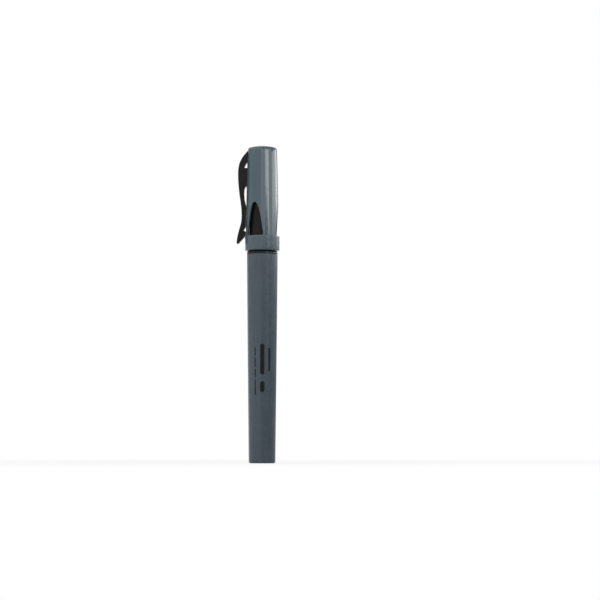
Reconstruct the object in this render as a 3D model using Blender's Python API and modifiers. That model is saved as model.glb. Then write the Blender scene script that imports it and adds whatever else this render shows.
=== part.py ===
"""Fine tip marker with a windowed clip cap, standing capped on the flat end of its barrel.

The pen's axis is +Z, the origin is the centre of the barrel's flat end, and the clip points towards -X.
The sizes below are in millimetres and become metres where a mesh is made. The cap slides off along +Z,
and the clip's arm bends outward about a line along Y at its neck.
"""

import math

import bmesh
import bpy
from mathutils import Matrix

MM = 0.001  # metres in a millimetre

# Barrel: a tapered cup, open at the top
BARREL_LENGTH = 88.8
BARREL_TOP_RADIUS = 6.55
BARREL_END_RADIUS = 5.65
BARREL_TAPER_POWER = 1.1  # above 1, the barrel narrows mostly near its end
BARREL_WALL = 1.0
BARREL_FLOOR = 1.4
BARREL_END_FILLET = 0.9
BARREL_RIM_CHAMFER = 0.2

# Stop ribs inside the barrel, which centre the ink reservoir and carry its end
RIB_COUNT = 4
RIB_THICKNESS = 0.8
RIB_STOP_HEIGHT = 4.6  # from the barrel's floor to the ledge under the reservoir
RIB_STOP_REACH = 3.0  # how far the ledge stands in from the guide's face
RIB_GUIDE_LENGTH = 16.0
RIB_ROOT = 0.35  # depth of the rib's root in the wall

# Ink reservoir and its film sleeve
FILM_CLEARANCE = 0.35  # between the film and the plug or barrel round it
FILM_THICKNESS = 0.15
FILM_GAP = 0.05
RESERVOIR_END_GAP = 0.2
RESERVOIR_CHAMFER = 0.3

# Front section: the plug in the barrel, the flange, the core under the grip and the nose
PLUG_DEPTH = 10.0
PLUG_GAP = 0.05
PLUG_WALL = 0.85
PLUG_LEAD = 0.6  # chamfer that leads the plug into the barrel
SEAT_GAP = 0.05  # between faces that rest on each other
FLANGE_HEIGHT = 1.2
FLANGE_PROUD = 0.02  # beyond the barrel's rim
FLANGE_SLOPE = 0.5  # how far its top edge stands back
FLANGE_CHAMFER = 0.5
BULKHEAD_THICKNESS = 2.4  # web over the reservoir
CORE_RADIUS = 4.5
NOSE_BASE_RADIUS = 4.85
NOSE_RIM_HEIGHT = 0.35
NOSE_SHOULDER_RADIUS = 4.46
NOSE_TAPER_LENGTH = 5.0
NOSE_FLARE_LENGTH = 3.9
NOSE_FLARE_DEPTH = 1.7  # how far down the flare its corner lies
NOSE_NECK_RADIUS = 2.9
NOSE_NECK_LENGTH = 2.6
NOSE_EDGE = 0.25

# Grip sleeve with its ribbed pad, which faces +X
GRIP_LENGTH = 23.2
GRIP_TOP_RADIUS = 5.22
GRIP_FOOT_RADIUS = 5.74
GRIP_SWELL_POWER = 1.6
GRIP_CHAMFER_HEIGHT = 0.8
GRIP_CHAMFER_DEPTH = 0.25
GRIP_FIT = 0.05
PAD_START = 4.7  # above the sleeve's foot
PAD_RIB_COUNT = 10
PAD_RIB_PITCH = 0.82
PAD_RIB_HEIGHT = 0.26
PAD_HALF_ANGLE = 62.0  # degrees each side of +X at the pad's widest

# Nib and the holder that is pressed in the nose
HOLDER_RADIUS = 2.36
HOLDER_STEP_HEIGHT = 1.7
HOLDER_DOME_HEIGHT = 1.3
HOLDER_SHANK_RADIUS = 1.95
HOLDER_SHANK_LENGTH = 12.0
HOLDER_FIT = 0.05
NIB_RADIUS = 1.2
NIB_FIT = 0.05
NIB_CONE_LENGTH = 2.65
NIB_CONE_BELLY = 0.62  # share of the nib's radius where the cone's end tangents meet
NIB_TIP_RADIUS = 0.15
NIB_DIP = 5.0  # depth of the nib's rear end in the reservoir

# Cap shell
CAP_REST_GAP = 0.1  # between the flange and the cap's mouth when capped
CAP_TOP_RADIUS = 6.2
CAP_FOOT_RADIUS = 7.06
CAP_SWELL_POWER = 0.65  # below 1, the cap swells mostly near its top
CAP_RING_POWER = 1.6  # above 1, the rings crowd towards the top, where it swells
CAP_WALL = 1.0
CAP_CROWN_THICKNESS = 1.9
CAP_CROWN_DOME = 0.75
CAP_CROWN_FILLET = 0.9
COLLAR_RADIUS = 7.34
COLLAR_HEIGHT = 6.1
COLLAR_STEP = 0.28
MOUTH_FILLET = 0.6
MOUTH_LEAD = 0.25
WINDOW_ANGLES = (-64.0, 64.0, 180.0)  # degrees from the clip, round the cap
WINDOW_SILL = 0.2  # above the collar
WINDOW_HEIGHT = 14.1
WINDOW_HALF_WIDTH = 3.74
WINDOW_ARCH_POWER = 0.42  # below 1, the arch is fuller than a triangle
WINDOW_CORNER = 0.5

# Inner cup that closes on the nose
NIB_HEADROOM = 2.0
SEAL_CROWN = 0.6
SEAL_WALL = 0.55
SEAL_FIT = 0.08
SEAL_CROWN_GAP = 0.2
SEAL_LIP_LENGTH = 1.0
SEAL_LIP_GAP = 0.05  # between the lip and the nose
SEAL_OVERLAP = 1.3  # the lip's lower edge above the nose's base

# Clip, measured down from the cap's top and out from the cap's wall
CLIP_WIDTH = 3.6
CLIP_EDGE = 0.3
CLIP_FOOT_WIDTH = 2.4
CLIP_SEAT_GAP = 0.1
CLIP_SPLIT_GAP = 0.2  # saw cut at the neck that lets the arm turn
CLIP_SLOT_GAP = 0.12
CLIP_FOOT_REACH = 0.9  # how deep the feet stand in the cap's wall
CLIP_FOOT_ROOT = 0.3  # how far the feet run out into the clip
CLIP_ROOT_DROP = 2.3
CLIP_ROOT_HEIGHT = 4.5
CLIP_ROOT_INSET = 1.2  # from the root's ends to its foot
CLIP_EYE_HEIGHT = 2.9
CLIP_EYE_REACH = 1.1
CLIP_BOSS_HEIGHT = 7.2
CLIP_BOSS_INSET = 1.2  # from the boss's ends to its foot
CLIP_ARCH_REACH = 3.8
CLIP_NECK_REACH = 3.3
CLIP_NECK_GAP = 0.9
CLIP_NECK_LENGTH = 1.7  # from the boss's foot to the saw cut
CLIP_ARM_LENGTH = 23.1
CLIP_WAIST_REACH = 1.9
CLIP_TIP_REACH = 3.8
CLIP_NOTCH_REACH = 0.9  # small hollow above the bump
CLIP_REST_GAP = 0.08  # between the arm and the cap where the arm lies along it

FACETS = 48
INNER_FACETS = 32
MERGE_DISTANCE = 0.000001
SMOOTH_ANGLE = 32.0

# Heights along the pen that several pieces share
SHOULDER = BARREL_LENGTH + SEAT_GAP + FLANGE_HEIGHT
NOSE_BASE = SHOULDER + GRIP_LENGTH
NOSE_SHOULDER = NOSE_BASE + NOSE_TAPER_LENGTH
NOSE_NECK = NOSE_SHOULDER + NOSE_FLARE_LENGTH
NOSE_FRONT = NOSE_NECK + NOSE_NECK_LENGTH
HOLDER_FRONT = NOSE_FRONT + SEAT_GAP + HOLDER_STEP_HEIGHT + HOLDER_DOME_HEIGHT
NIB_TIP = HOLDER_FRONT + NIB_CONE_LENGTH
RESERVOIR_FOOT = BARREL_FLOOR + RIB_STOP_HEIGHT + SEAT_GAP
BULKHEAD = SHOULDER - BULKHEAD_THICKNESS
RESERVOIR_TOP = BULKHEAD - RESERVOIR_END_GAP
CAP_MOUTH = SHOULDER + CAP_REST_GAP
SEAL_CEILING = NIB_TIP + NIB_HEADROOM
SEAL_TOP = SEAL_CEILING + SEAL_CROWN
CAP_CEILING = SEAL_TOP + SEAL_CROWN_GAP
CAP_TOP = CAP_CEILING + CAP_CROWN_THICKNESS
CAP_EDGE = CAP_TOP - CAP_CROWN_DOME - CAP_CROWN_FILLET
COLLAR_TOP = CAP_MOUTH + COLLAR_HEIGHT
WINDOW_FOOT = COLLAR_TOP + WINDOW_SILL
CLIP_BOSS_DROP = CLIP_ROOT_DROP + CLIP_ROOT_HEIGHT + CLIP_EYE_HEIGHT
CLIP_NECK_DROP = CLIP_BOSS_DROP + CLIP_BOSS_HEIGHT + CLIP_NECK_LENGTH
FLANGE_RADIUS = BARREL_TOP_RADIUS + FLANGE_PROUD

# Plain finishes: a linear RGB colour and a roughness
FINISHES = {
    "slate_plastic": ((0.076, 0.100, 0.115), 0.28),
    "black_plastic": ((0.015, 0.0155, 0.0155), 0.38),
    "clip_plastic": ((0.015, 0.0155, 0.0155), 0.45),
    "grip_rubber": ((0.020, 0.021, 0.020), 0.62),
    "inked_fibre": ((0.028, 0.025, 0.020), 0.75),
    "reservoir_fibre": ((0.080, 0.080, 0.085), 0.90),
    "film_plastic": ((0.620, 0.640, 0.650), 0.25),
    "seal_plastic": ((0.180, 0.190, 0.195), 0.50),
}


def clear_scene():
    """Remove every object, so that the file holds nothing but the marker."""
    for item in list(bpy.data.objects):
        bpy.data.objects.remove(item, do_unlink=True)


def new_collection(name):
    """Make a collection in the scene and return it."""
    collection = bpy.data.collections.new(name)
    bpy.context.scene.collection.children.link(collection)
    return collection


def plain_material(name):
    """Return a Principled material with the colour and roughness of a named finish."""
    colour, roughness = FINISHES[name]
    material = bpy.data.materials.new(name)
    material.use_nodes = True
    shader = material.node_tree.nodes["Principled BSDF"]
    shader.inputs["Base Color"].default_value = (*colour, 1.0)
    shader.inputs["Roughness"].default_value = roughness
    shader.inputs["Metallic"].default_value = 0.0
    material.diffuse_color = (*colour, 1.0)
    return material


def bend(start, corner, end, steps):
    """Return points on the smooth bend from start to end whose tangents meet at the corner."""
    points = []
    for step in range(steps + 1):
        t = step / steps
        weights = ((1 - t) ** 2, 2 * t * (1 - t), t ** 2)
        points.append(tuple(
            weights[0] * a + weights[1] * b + weights[2] * c for a, b, c in zip(start, corner, end)
        ))
    return points


def wall(radius_at, start, end, steps):
    """Return points down or up a turned wall whose radius follows a formula."""
    heights = [start + (end - start) * step / steps for step in range(steps + 1)]
    return [(radius_at(height), height) for height in heights]


def barrel_radius(height):
    """Outer radius of the barrel at a height above its flat end."""
    share = max(0.0, 1.0 - height / BARREL_LENGTH)
    return BARREL_TOP_RADIUS - (BARREL_TOP_RADIUS - BARREL_END_RADIUS) * share ** BARREL_TAPER_POWER


def bore_radius(height):
    """Inner radius of the barrel."""
    return barrel_radius(height) - BARREL_WALL


def plug_bore_radius():
    """Inner radius of the section's plug."""
    return bore_radius(BARREL_LENGTH - PLUG_DEPTH) - PLUG_GAP - PLUG_WALL


def film_radius():
    """Outer radius of the film, which stands clear of the plug and of the barrel's narrow end."""
    return min(plug_bore_radius(), bore_radius(RESERVOIR_FOOT)) - FILM_CLEARANCE


def reservoir_radius():
    """Radius of the fibre rod inside the film."""
    return film_radius() - FILM_THICKNESS - FILM_GAP


def nose_radius(height):
    """Radius of the nose between its base and its shoulder."""
    share = (height - NOSE_BASE) / NOSE_TAPER_LENGTH
    return NOSE_BASE_RADIUS - (NOSE_BASE_RADIUS - NOSE_SHOULDER_RADIUS) * share


def grip_radius(height):
    """Outer radius of the grip sleeve below its top chamfer."""
    top = NOSE_BASE - GRIP_CHAMFER_HEIGHT
    share = (top - height) / (top - SHOULDER)
    return GRIP_TOP_RADIUS + (GRIP_FOOT_RADIUS - GRIP_TOP_RADIUS) * max(0.0, share) ** GRIP_SWELL_POWER


def cap_radius(height):
    """Outer radius of the cap above its collar."""
    share = (CAP_EDGE - height) / (CAP_EDGE - COLLAR_TOP)
    return CAP_TOP_RADIUS + (CAP_FOOT_RADIUS - CAP_TOP_RADIUS) * max(0.0, share) ** CAP_SWELL_POWER


def cap_inner_radius(height):
    """Inner radius of the cap, which is straight inside the collar."""
    return cap_radius(max(height, COLLAR_TOP)) - CAP_WALL


def seal_radius(height):
    """Outer radius of the inner cup."""
    return cap_inner_radius(height) - SEAL_FIT


def turned(name, profile, facets, closed=False):
    """Turn a profile about the pen's axis into a solid.

    The profile is a list of (radius, height) points that runs up its inner side and down its outer side.
    An open profile starts and ends on the axis, and a closed one stays clear of it.
    """
    mesh = bpy.data.meshes.new(name)
    edges = [(index, index + 1) for index in range(len(profile) - 1)]
    if closed:
        edges.append((len(profile) - 1, 0))
    mesh.from_pydata([(radius * MM, 0.0, height * MM) for radius, height in profile], edges, [])
    piece = bpy.data.objects.new(name, mesh)
    bpy.context.scene.collection.objects.link(piece)
    screw = piece.modifiers.new("Turn", "SCREW")
    screw.axis = "Z"
    screw.steps = facets
    screw.render_steps = facets
    screw.use_merge_vertices = True
    screw.merge_threshold = MERGE_DISTANCE
    return piece


def evaluated_mesh(item):
    """Return a new mesh of an object as its modifiers shape it, with loose caps welded on."""
    depsgraph = bpy.context.evaluated_depsgraph_get()
    mesh = bpy.data.meshes.new_from_object(item.evaluated_get(depsgraph), depsgraph=depsgraph)
    shape = bmesh.new()
    shape.from_mesh(mesh)
    bmesh.ops.remove_doubles(shape, verts=shape.verts, dist=MERGE_DISTANCE)
    bmesh.ops.recalc_face_normals(shape, faces=shape.faces)
    shape.to_mesh(mesh)
    shape.free()
    return mesh


def outline_slab(name, knots, thickness, smooth=True, resolution=3):
    """Make a slab from a side-view outline of (x, z, rounded) knots, centred on the plane y = 0."""
    curve = bpy.data.curves.new(name, "CURVE")
    curve.dimensions = "2D"
    curve.fill_mode = "BOTH"
    curve.extrude = thickness * MM / 2
    curve.resolution_u = resolution if smooth else 1
    spline = curve.splines.new("BEZIER")
    spline.bezier_points.add(len(knots) - 1)
    spline.use_cyclic_u = True
    for point, (x, z, rounded) in zip(spline.bezier_points, knots):
        point.co = (x * MM, z * MM, 0.0)
        point.handle_left_type = point.handle_right_type = "AUTO" if rounded else "VECTOR"
    drawing = bpy.data.objects.new(name + "_outline", curve)
    drawing.rotation_euler = (math.radians(90.0), 0.0, 0.0)
    bpy.context.scene.collection.objects.link(drawing)
    bpy.context.view_layer.update()
    mesh = evaluated_mesh(drawing)
    mesh.transform(drawing.matrix_world)
    bpy.data.objects.remove(drawing, do_unlink=True)
    slab = bpy.data.objects.new(name, mesh)
    bpy.context.scene.collection.objects.link(slab)
    return slab


def block(name, low, high):
    """Make a box between two corners, in millimetres."""
    shape = bmesh.new()
    bmesh.ops.create_cube(shape, size=1.0)
    for vert in shape.verts:
        vert.co = [MM * (a + (b - a) * (part + 0.5)) for a, b, part in zip(low, high, vert.co)]
    mesh = bpy.data.meshes.new(name)
    shape.to_mesh(mesh)
    shape.free()
    box = bpy.data.objects.new(name, mesh)
    bpy.context.scene.collection.objects.link(box)
    return box


def keep_as_tool(tool, collection):
    """Put a cutter or a joined shape among the construction shapes, out of renders."""
    for holder in list(tool.users_collection):
        holder.objects.unlink(tool)
    collection.objects.link(tool)
    tool.hide_render = True
    tool.display_type = "WIRE"


def combine(piece, tool, operation, tools):
    """Cut a tool from a piece, or join it on, with a Boolean."""
    keep_as_tool(tool, tools)
    boolean = piece.modifiers.new(tool.name, "BOOLEAN")
    boolean.operation = operation
    boolean.object = tool
    boolean.solver = "EXACT"


def round_outline(slab, width, cut_height):
    """Round the edges of a slab's two flat sides, apart from those at the height of a saw cut."""
    slab_mesh = slab.data
    weights = slab_mesh.attributes.new("bevel_weight_edge", "FLOAT", "EDGE")
    half = max(vert.co.y for vert in slab_mesh.vertices)
    sides = {}
    for face in slab_mesh.polygons:
        flat = abs(face.normal.y) > 0.5
        for key in face.edge_keys:
            sides.setdefault(key, []).append(flat)
    for index, edge in enumerate(slab_mesh.edges):
        ends = [slab_mesh.vertices[vert].co for vert in edge.vertices]
        at_cut = all(abs(end.z - cut_height * MM) < MERGE_DISTANCE for end in ends)
        on_side = all(abs(abs(end.y) - half) < MERGE_DISTANCE for end in ends)
        borders = len(set(sides[edge.key])) == 2
        weights.data[index].value = float(on_side and borders and not at_cut)
    bevel = slab.modifiers.new("Edges", "BEVEL")
    bevel.width = width * MM
    bevel.segments = 2
    bevel.limit_method = "WEIGHT"


def finish(piece, material, parts):
    """Fix a piece's modifiers in its mesh, shade it smooth and file it among the parts."""
    mesh = evaluated_mesh(piece)
    mesh.name = piece.name
    piece.modifiers.clear()
    piece.data = mesh
    mesh.materials.clear()
    mesh.materials.append(material)
    mesh.polygons.foreach_set("material_index", [0] * len(mesh.polygons))
    mesh.shade_smooth()
    mesh.set_sharp_from_angle(angle=math.radians(SMOOTH_ANGLE))
    for holder in list(piece.users_collection):
        holder.objects.unlink(piece)
    parts.objects.link(piece)


def make_barrel(tools):
    """Tapered cup with a flat filleted end and stop ribs inside."""
    fillet_top = BARREL_END_FILLET
    fillet = bend(
        (barrel_radius(fillet_top), fillet_top),
        (barrel_radius(0.0), 0.0),
        (barrel_radius(0.0) - BARREL_END_FILLET, 0.0),
        steps=5,
    )
    rim = BARREL_TOP_RADIUS - BARREL_RIM_CHAMFER
    profile = [(0.0, BARREL_FLOOR)]
    profile += wall(bore_radius, BARREL_FLOOR, BARREL_LENGTH, steps=4)
    profile += [(rim, BARREL_LENGTH)]
    profile += wall(barrel_radius, BARREL_LENGTH - BARREL_RIM_CHAMFER, fillet_top, steps=8)[:-1]
    profile += fillet + [(0.0, 0.0)]
    barrel = turned("barrel", profile, FACETS)
    for index in range(RIB_COUNT):
        combine(barrel, make_stop_rib(index), "UNION", tools)
    return barrel


def make_stop_rib(index):
    """One L-shaped rib: a ledge under the reservoir and a guide beside it."""
    foot = BARREL_FLOOR - RIB_ROOT
    ledge = BARREL_FLOOR + RIB_STOP_HEIGHT
    guide_face = film_radius() + SEAT_GAP
    guide_top = ledge + RIB_GUIDE_LENGTH
    knots = [
        (guide_face - RIB_STOP_REACH, foot),
        (guide_face - RIB_STOP_REACH, ledge),
        (guide_face, ledge),
        (guide_face, guide_top - RIB_ROOT),
        (guide_face + RIB_ROOT, guide_top),
        (bore_radius(guide_top) + RIB_ROOT, guide_top),
        (bore_radius(foot) + RIB_ROOT, foot),
    ]
    outline = [(x, z, False) for x, z in knots]
    rib = outline_slab(f"stop_rib_{index + 1}", outline, RIB_THICKNESS, smooth=False)
    turn = (index + 0.5) * math.tau / RIB_COUNT
    rib.data.transform(Matrix.Rotation(turn, 4, "Z"))
    return rib


def make_reservoir():
    """Fibre rod with a blind hole that takes the nib's rear end."""
    hole = NIB_RADIUS + NIB_FIT
    radius = reservoir_radius()
    floor = RESERVOIR_TOP - NIB_DIP - RESERVOIR_END_GAP
    profile = [
        (0.0, floor),
        (hole, floor),
        (hole, RESERVOIR_TOP),
        (radius - RESERVOIR_CHAMFER, RESERVOIR_TOP),
        (radius, RESERVOIR_TOP - RESERVOIR_CHAMFER),
        (radius, RESERVOIR_FOOT + RESERVOIR_CHAMFER),
        (radius - RESERVOIR_CHAMFER, RESERVOIR_FOOT),
        (0.0, RESERVOIR_FOOT),
    ]
    return turned("ink_reservoir", profile, INNER_FACETS)


def make_film():
    """Thin sleeve round the fibre rod."""
    inner = film_radius() - FILM_THICKNESS
    profile = [
        (inner, RESERVOIR_FOOT),
        (inner, RESERVOIR_TOP),
        (film_radius(), RESERVOIR_TOP),
        (film_radius(), RESERVOIR_FOOT),
    ]
    return turned("reservoir_film", profile, INNER_FACETS, closed=True)


def make_front_section():
    """Plug, flange, grip core and stepped nose, with a bore for the nib holder."""
    flange_foot = BARREL_LENGTH + SEAT_GAP
    plug_foot = BARREL_LENGTH - PLUG_DEPTH
    bore = HOLDER_SHANK_RADIUS + HOLDER_FIT
    nib_bore = NIB_RADIUS + NIB_FIT
    shank_stop = NOSE_FRONT - HOLDER_SHANK_LENGTH - RESERVOIR_END_GAP

    def plug_radius(height):
        return bore_radius(height) - PLUG_GAP

    flare = bend(
        (NOSE_NECK_RADIUS, NOSE_NECK),
        (NOSE_SHOULDER_RADIUS - NOSE_EDGE / 4, NOSE_NECK - NOSE_FLARE_DEPTH - NOSE_EDGE),
        (NOSE_SHOULDER_RADIUS, NOSE_SHOULDER),
        steps=5,
    )
    profile = [
        (bore, NOSE_FRONT),
        (NOSE_NECK_RADIUS - NOSE_EDGE, NOSE_FRONT),
        (NOSE_NECK_RADIUS, NOSE_FRONT - NOSE_EDGE),
    ]
    profile += flare
    profile += [
        (nose_radius(NOSE_BASE + NOSE_RIM_HEIGHT), NOSE_BASE + NOSE_RIM_HEIGHT),
        (NOSE_BASE_RADIUS, NOSE_BASE),
        (CORE_RADIUS, NOSE_BASE),
        (CORE_RADIUS, SHOULDER),
        (FLANGE_RADIUS - FLANGE_SLOPE, SHOULDER),
        (FLANGE_RADIUS, SHOULDER - FLANGE_CHAMFER),
        (FLANGE_RADIUS, flange_foot),
        (plug_radius(BARREL_LENGTH), flange_foot),
    ]
    profile += wall(plug_radius, BARREL_LENGTH - PLUG_GAP, plug_foot + PLUG_LEAD, steps=2)
    profile += [
        (plug_radius(plug_foot) - PLUG_LEAD / 2, plug_foot),
        (plug_bore_radius(), plug_foot),
        (plug_bore_radius(), BULKHEAD),
        (nib_bore, BULKHEAD),
        (nib_bore, shank_stop),
        (bore, shank_stop),
    ]
    return turned("front_section", profile, FACETS, closed=True)


def make_grip():
    """Soft sleeve on the section's core, with fine ribs raised from its outer side."""
    inner = CORE_RADIUS + GRIP_FIT
    foot = SHOULDER + SEAT_GAP
    top = NOSE_BASE - SEAT_GAP
    chamfer = NOSE_BASE - GRIP_CHAMFER_HEIGHT
    pad_start = foot + PAD_START
    pad_end = pad_start + PAD_RIB_COUNT * PAD_RIB_PITCH
    profile = [(inner, foot), (inner, top), (GRIP_TOP_RADIUS - GRIP_CHAMFER_DEPTH, top)]
    profile += wall(grip_radius, chamfer, pad_end, steps=3)[:-1]
    profile += wall(grip_radius, pad_end, pad_start, steps=2 * PAD_RIB_COUNT)[:-1]
    profile += wall(grip_radius, pad_start, foot, steps=2)
    grip = turned("grip_sleeve", profile, FACETS, closed=True)
    mesh = evaluated_mesh(grip)
    grip.modifiers.clear()
    grip.data = mesh
    raise_ribs(mesh, pad_start, inner)
    return grip


def raise_ribs(mesh, pad_start, inner):
    """Lift every second ring of the pad into a rib, within a lens-shaped patch about +X."""
    for vert in mesh.vertices:
        radius = math.hypot(vert.co.x, vert.co.y) / MM
        place = (vert.co.z / MM - pad_start) / PAD_RIB_PITCH
        along = 2.0 * place / PAD_RIB_COUNT - 1.0
        if radius < inner + GRIP_FIT or abs(along) >= 1.0 or round(2.0 * place) % 2 == 0:
            continue
        half_angle = PAD_HALF_ANGLE * math.sqrt(1.0 - along ** 2)
        turn = abs(math.degrees(math.atan2(vert.co.y, vert.co.x))) / half_angle
        if turn < 1.0:
            lift = PAD_RIB_HEIGHT * math.sqrt(1.0 - turn ** 2)
            vert.co.x *= (radius + lift) / radius
            vert.co.y *= (radius + lift) / radius


def make_nib_holder():
    """Stepped tube: a shank in the nose, a collar on its front face and a domed end."""
    bore = NIB_RADIUS + NIB_FIT
    collar_foot = NOSE_FRONT + SEAT_GAP
    dome_foot = collar_foot + HOLDER_STEP_HEIGHT
    lip = bore + 2 * NIB_FIT
    dome = bend((lip, HOLDER_FRONT), (HOLDER_RADIUS - 2 * NIB_FIT, HOLDER_FRONT - 2 * NIB_FIT),
                (HOLDER_RADIUS, dome_foot), steps=4)
    shank_foot = NOSE_FRONT - HOLDER_SHANK_LENGTH
    profile = [(bore, HOLDER_FRONT)] + dome
    profile += [
        (HOLDER_RADIUS, collar_foot),
        (HOLDER_SHANK_RADIUS, collar_foot),
        (HOLDER_SHANK_RADIUS, shank_foot),
        (bore, shank_foot),
    ]
    return turned("nib_holder", profile, INNER_FACETS, closed=True)


def make_nib():
    """Fibre rod with a slightly rounded cone in front."""
    cone = bend(
        (NIB_TIP_RADIUS, NIB_TIP - NIB_TIP_RADIUS / 2),
        (NIB_RADIUS * NIB_CONE_BELLY, NIB_TIP - NIB_CONE_LENGTH / 2),
        (NIB_RADIUS, HOLDER_FRONT + NIB_FIT),
        steps=4,
    )
    foot = RESERVOIR_TOP - NIB_DIP
    profile = [(0.0, NIB_TIP)] + cone + [(NIB_RADIUS, foot), (0.0, foot)]
    return turned("fibre_nib", profile, INNER_FACETS)


def make_cap_shell(tools):
    """Cap with a domed crown, a collar at the mouth, arched windows and slots for the clip."""
    crown_edge = CAP_TOP - CAP_CROWN_DOME
    fillet = bend(
        (CAP_TOP_RADIUS - CAP_CROWN_FILLET, crown_edge),
        (CAP_TOP_RADIUS, crown_edge),
        (CAP_TOP_RADIUS, CAP_EDGE),
        steps=5,
    )
    dome = bend((0.0, CAP_TOP), ((CAP_TOP_RADIUS - CAP_CROWN_FILLET) / 2, CAP_TOP), fillet[0], steps=4)
    mouth = bend(
        (COLLAR_RADIUS, CAP_MOUTH + MOUTH_FILLET),
        (COLLAR_RADIUS, CAP_MOUTH),
        (COLLAR_RADIUS - MOUTH_FILLET, CAP_MOUTH),
        steps=4,
    )
    mouth_bore = cap_inner_radius(CAP_MOUTH)
    profile = dome[:-1] + fillet
    profile += swelling_wall(cap_radius, CAP_EDGE, COLLAR_TOP, steps=9)[1:]
    profile += [(COLLAR_RADIUS, COLLAR_TOP - COLLAR_STEP)]
    profile += mouth
    profile += [(mouth_bore + MOUTH_LEAD, CAP_MOUTH), (mouth_bore, CAP_MOUTH + MOUTH_LEAD)]
    profile += wall(cap_inner_radius, COLLAR_TOP, CAP_CEILING, steps=5)
    profile += [(0.0, CAP_CEILING)]
    shell = turned("cap_shell", profile, FACETS)
    for index, angle in enumerate(WINDOW_ANGLES):
        combine(shell, make_window_cutter(index, angle), "DIFFERENCE", tools)
    for name, low, high in clip_feet():
        combine(shell, make_slot_cutter(name, low, high), "DIFFERENCE", tools)
    return shell


def swelling_wall(radius_at, start, end, steps):
    """Points down a wall, closer together where it starts, because it swells fastest there."""
    heights = [start + (end - start) * (step / steps) ** CAP_RING_POWER for step in range(steps + 1)]
    return [(radius_at(height), height) for height in heights]


def make_window_cutter(index, angle):
    """Arched prism that cuts one window, at an angle from the clip."""
    steps = 9
    apex = WINDOW_FOOT + WINDOW_HEIGHT
    sides = [WINDOW_HALF_WIDTH * (step / steps) for step in range(-steps, steps + 1)]
    arch = []
    for side in sides:
        share = (abs(side) / WINDOW_HALF_WIDTH) ** (1.0 / WINDOW_ARCH_POWER)
        arch.append((side, apex - share * (WINDOW_HEIGHT - WINDOW_CORNER)))
    sill_end = WINDOW_HALF_WIDTH - WINDOW_CORNER
    left = bend((-sill_end, WINDOW_FOOT), (-WINDOW_HALF_WIDTH, WINDOW_FOOT), arch[0], steps=3)
    right = bend(arch[-1], (WINDOW_HALF_WIDTH, WINDOW_FOOT), (sill_end, WINDOW_FOOT), steps=3)
    outline = [(x, z, False) for x, z in left[:-1] + arch + right[1:]]
    reach = CAP_FOOT_RADIUS + CAP_WALL
    cutter = outline_slab(f"window_{index + 1}", outline, reach, smooth=False)
    cutter.data.transform(Matrix.Translation((0.0, -reach * MM, 0.0)))
    cutter.data.transform(Matrix.Rotation(math.radians(angle - 90.0), 4, "Z"))
    return cutter


def clip_feet():
    """Lowest and highest point of each of the clip's two feet."""
    root_top = CAP_TOP - CLIP_ROOT_DROP
    boss_top = CAP_TOP - CLIP_BOSS_DROP
    return [
        ("root_slot", root_top - CLIP_ROOT_HEIGHT + CLIP_ROOT_INSET, root_top - CLIP_ROOT_INSET),
        ("boss_slot", boss_top - CLIP_BOSS_HEIGHT + CLIP_BOSS_INSET, boss_top - CLIP_BOSS_INSET),
    ]


def make_slot_cutter(name, low, high):
    """Box that cuts a slot for one foot of the clip through the cap's wall."""
    half = CLIP_FOOT_WIDTH / 2 + CLIP_SLOT_GAP
    outside = -CAP_FOOT_RADIUS - CAP_WALL
    inside = -cap_radius(high) + 2 * CAP_WALL
    return block(name, (outside, -half, low - CLIP_SLOT_GAP), (inside, half, high + CLIP_SLOT_GAP))


def make_cap_seal():
    """Inner cup with a thin lip that closes on the nose."""
    lip_foot = NOSE_BASE + SEAL_OVERLAP
    lip_radius = nose_radius(lip_foot) + SEAL_LIP_GAP
    lip_top = lip_foot + SEAL_LIP_LENGTH

    def inside(height):
        return seal_radius(height) - SEAL_WALL

    profile = [(0.0, SEAL_TOP), (seal_radius(SEAL_TOP) - SEAL_WALL, SEAL_TOP)]
    profile += wall(seal_radius, SEAL_TOP - SEAL_WALL / 2, lip_foot, steps=6)
    profile += [(lip_radius, lip_foot), (lip_radius, lip_top)]
    profile += wall(inside, lip_top + SEAL_WALL, SEAL_CEILING, steps=5)
    profile += [(0.0, SEAL_CEILING)]
    return turned("cap_seal", profile, FACETS // 2)


def clip_point(drop, reach, rounded=True):
    """A knot of the clip's side view: how far below the cap's top, and how far out from its wall."""
    height = CAP_TOP - drop
    return (-cap_radius(height) - reach, height, rounded)


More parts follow.
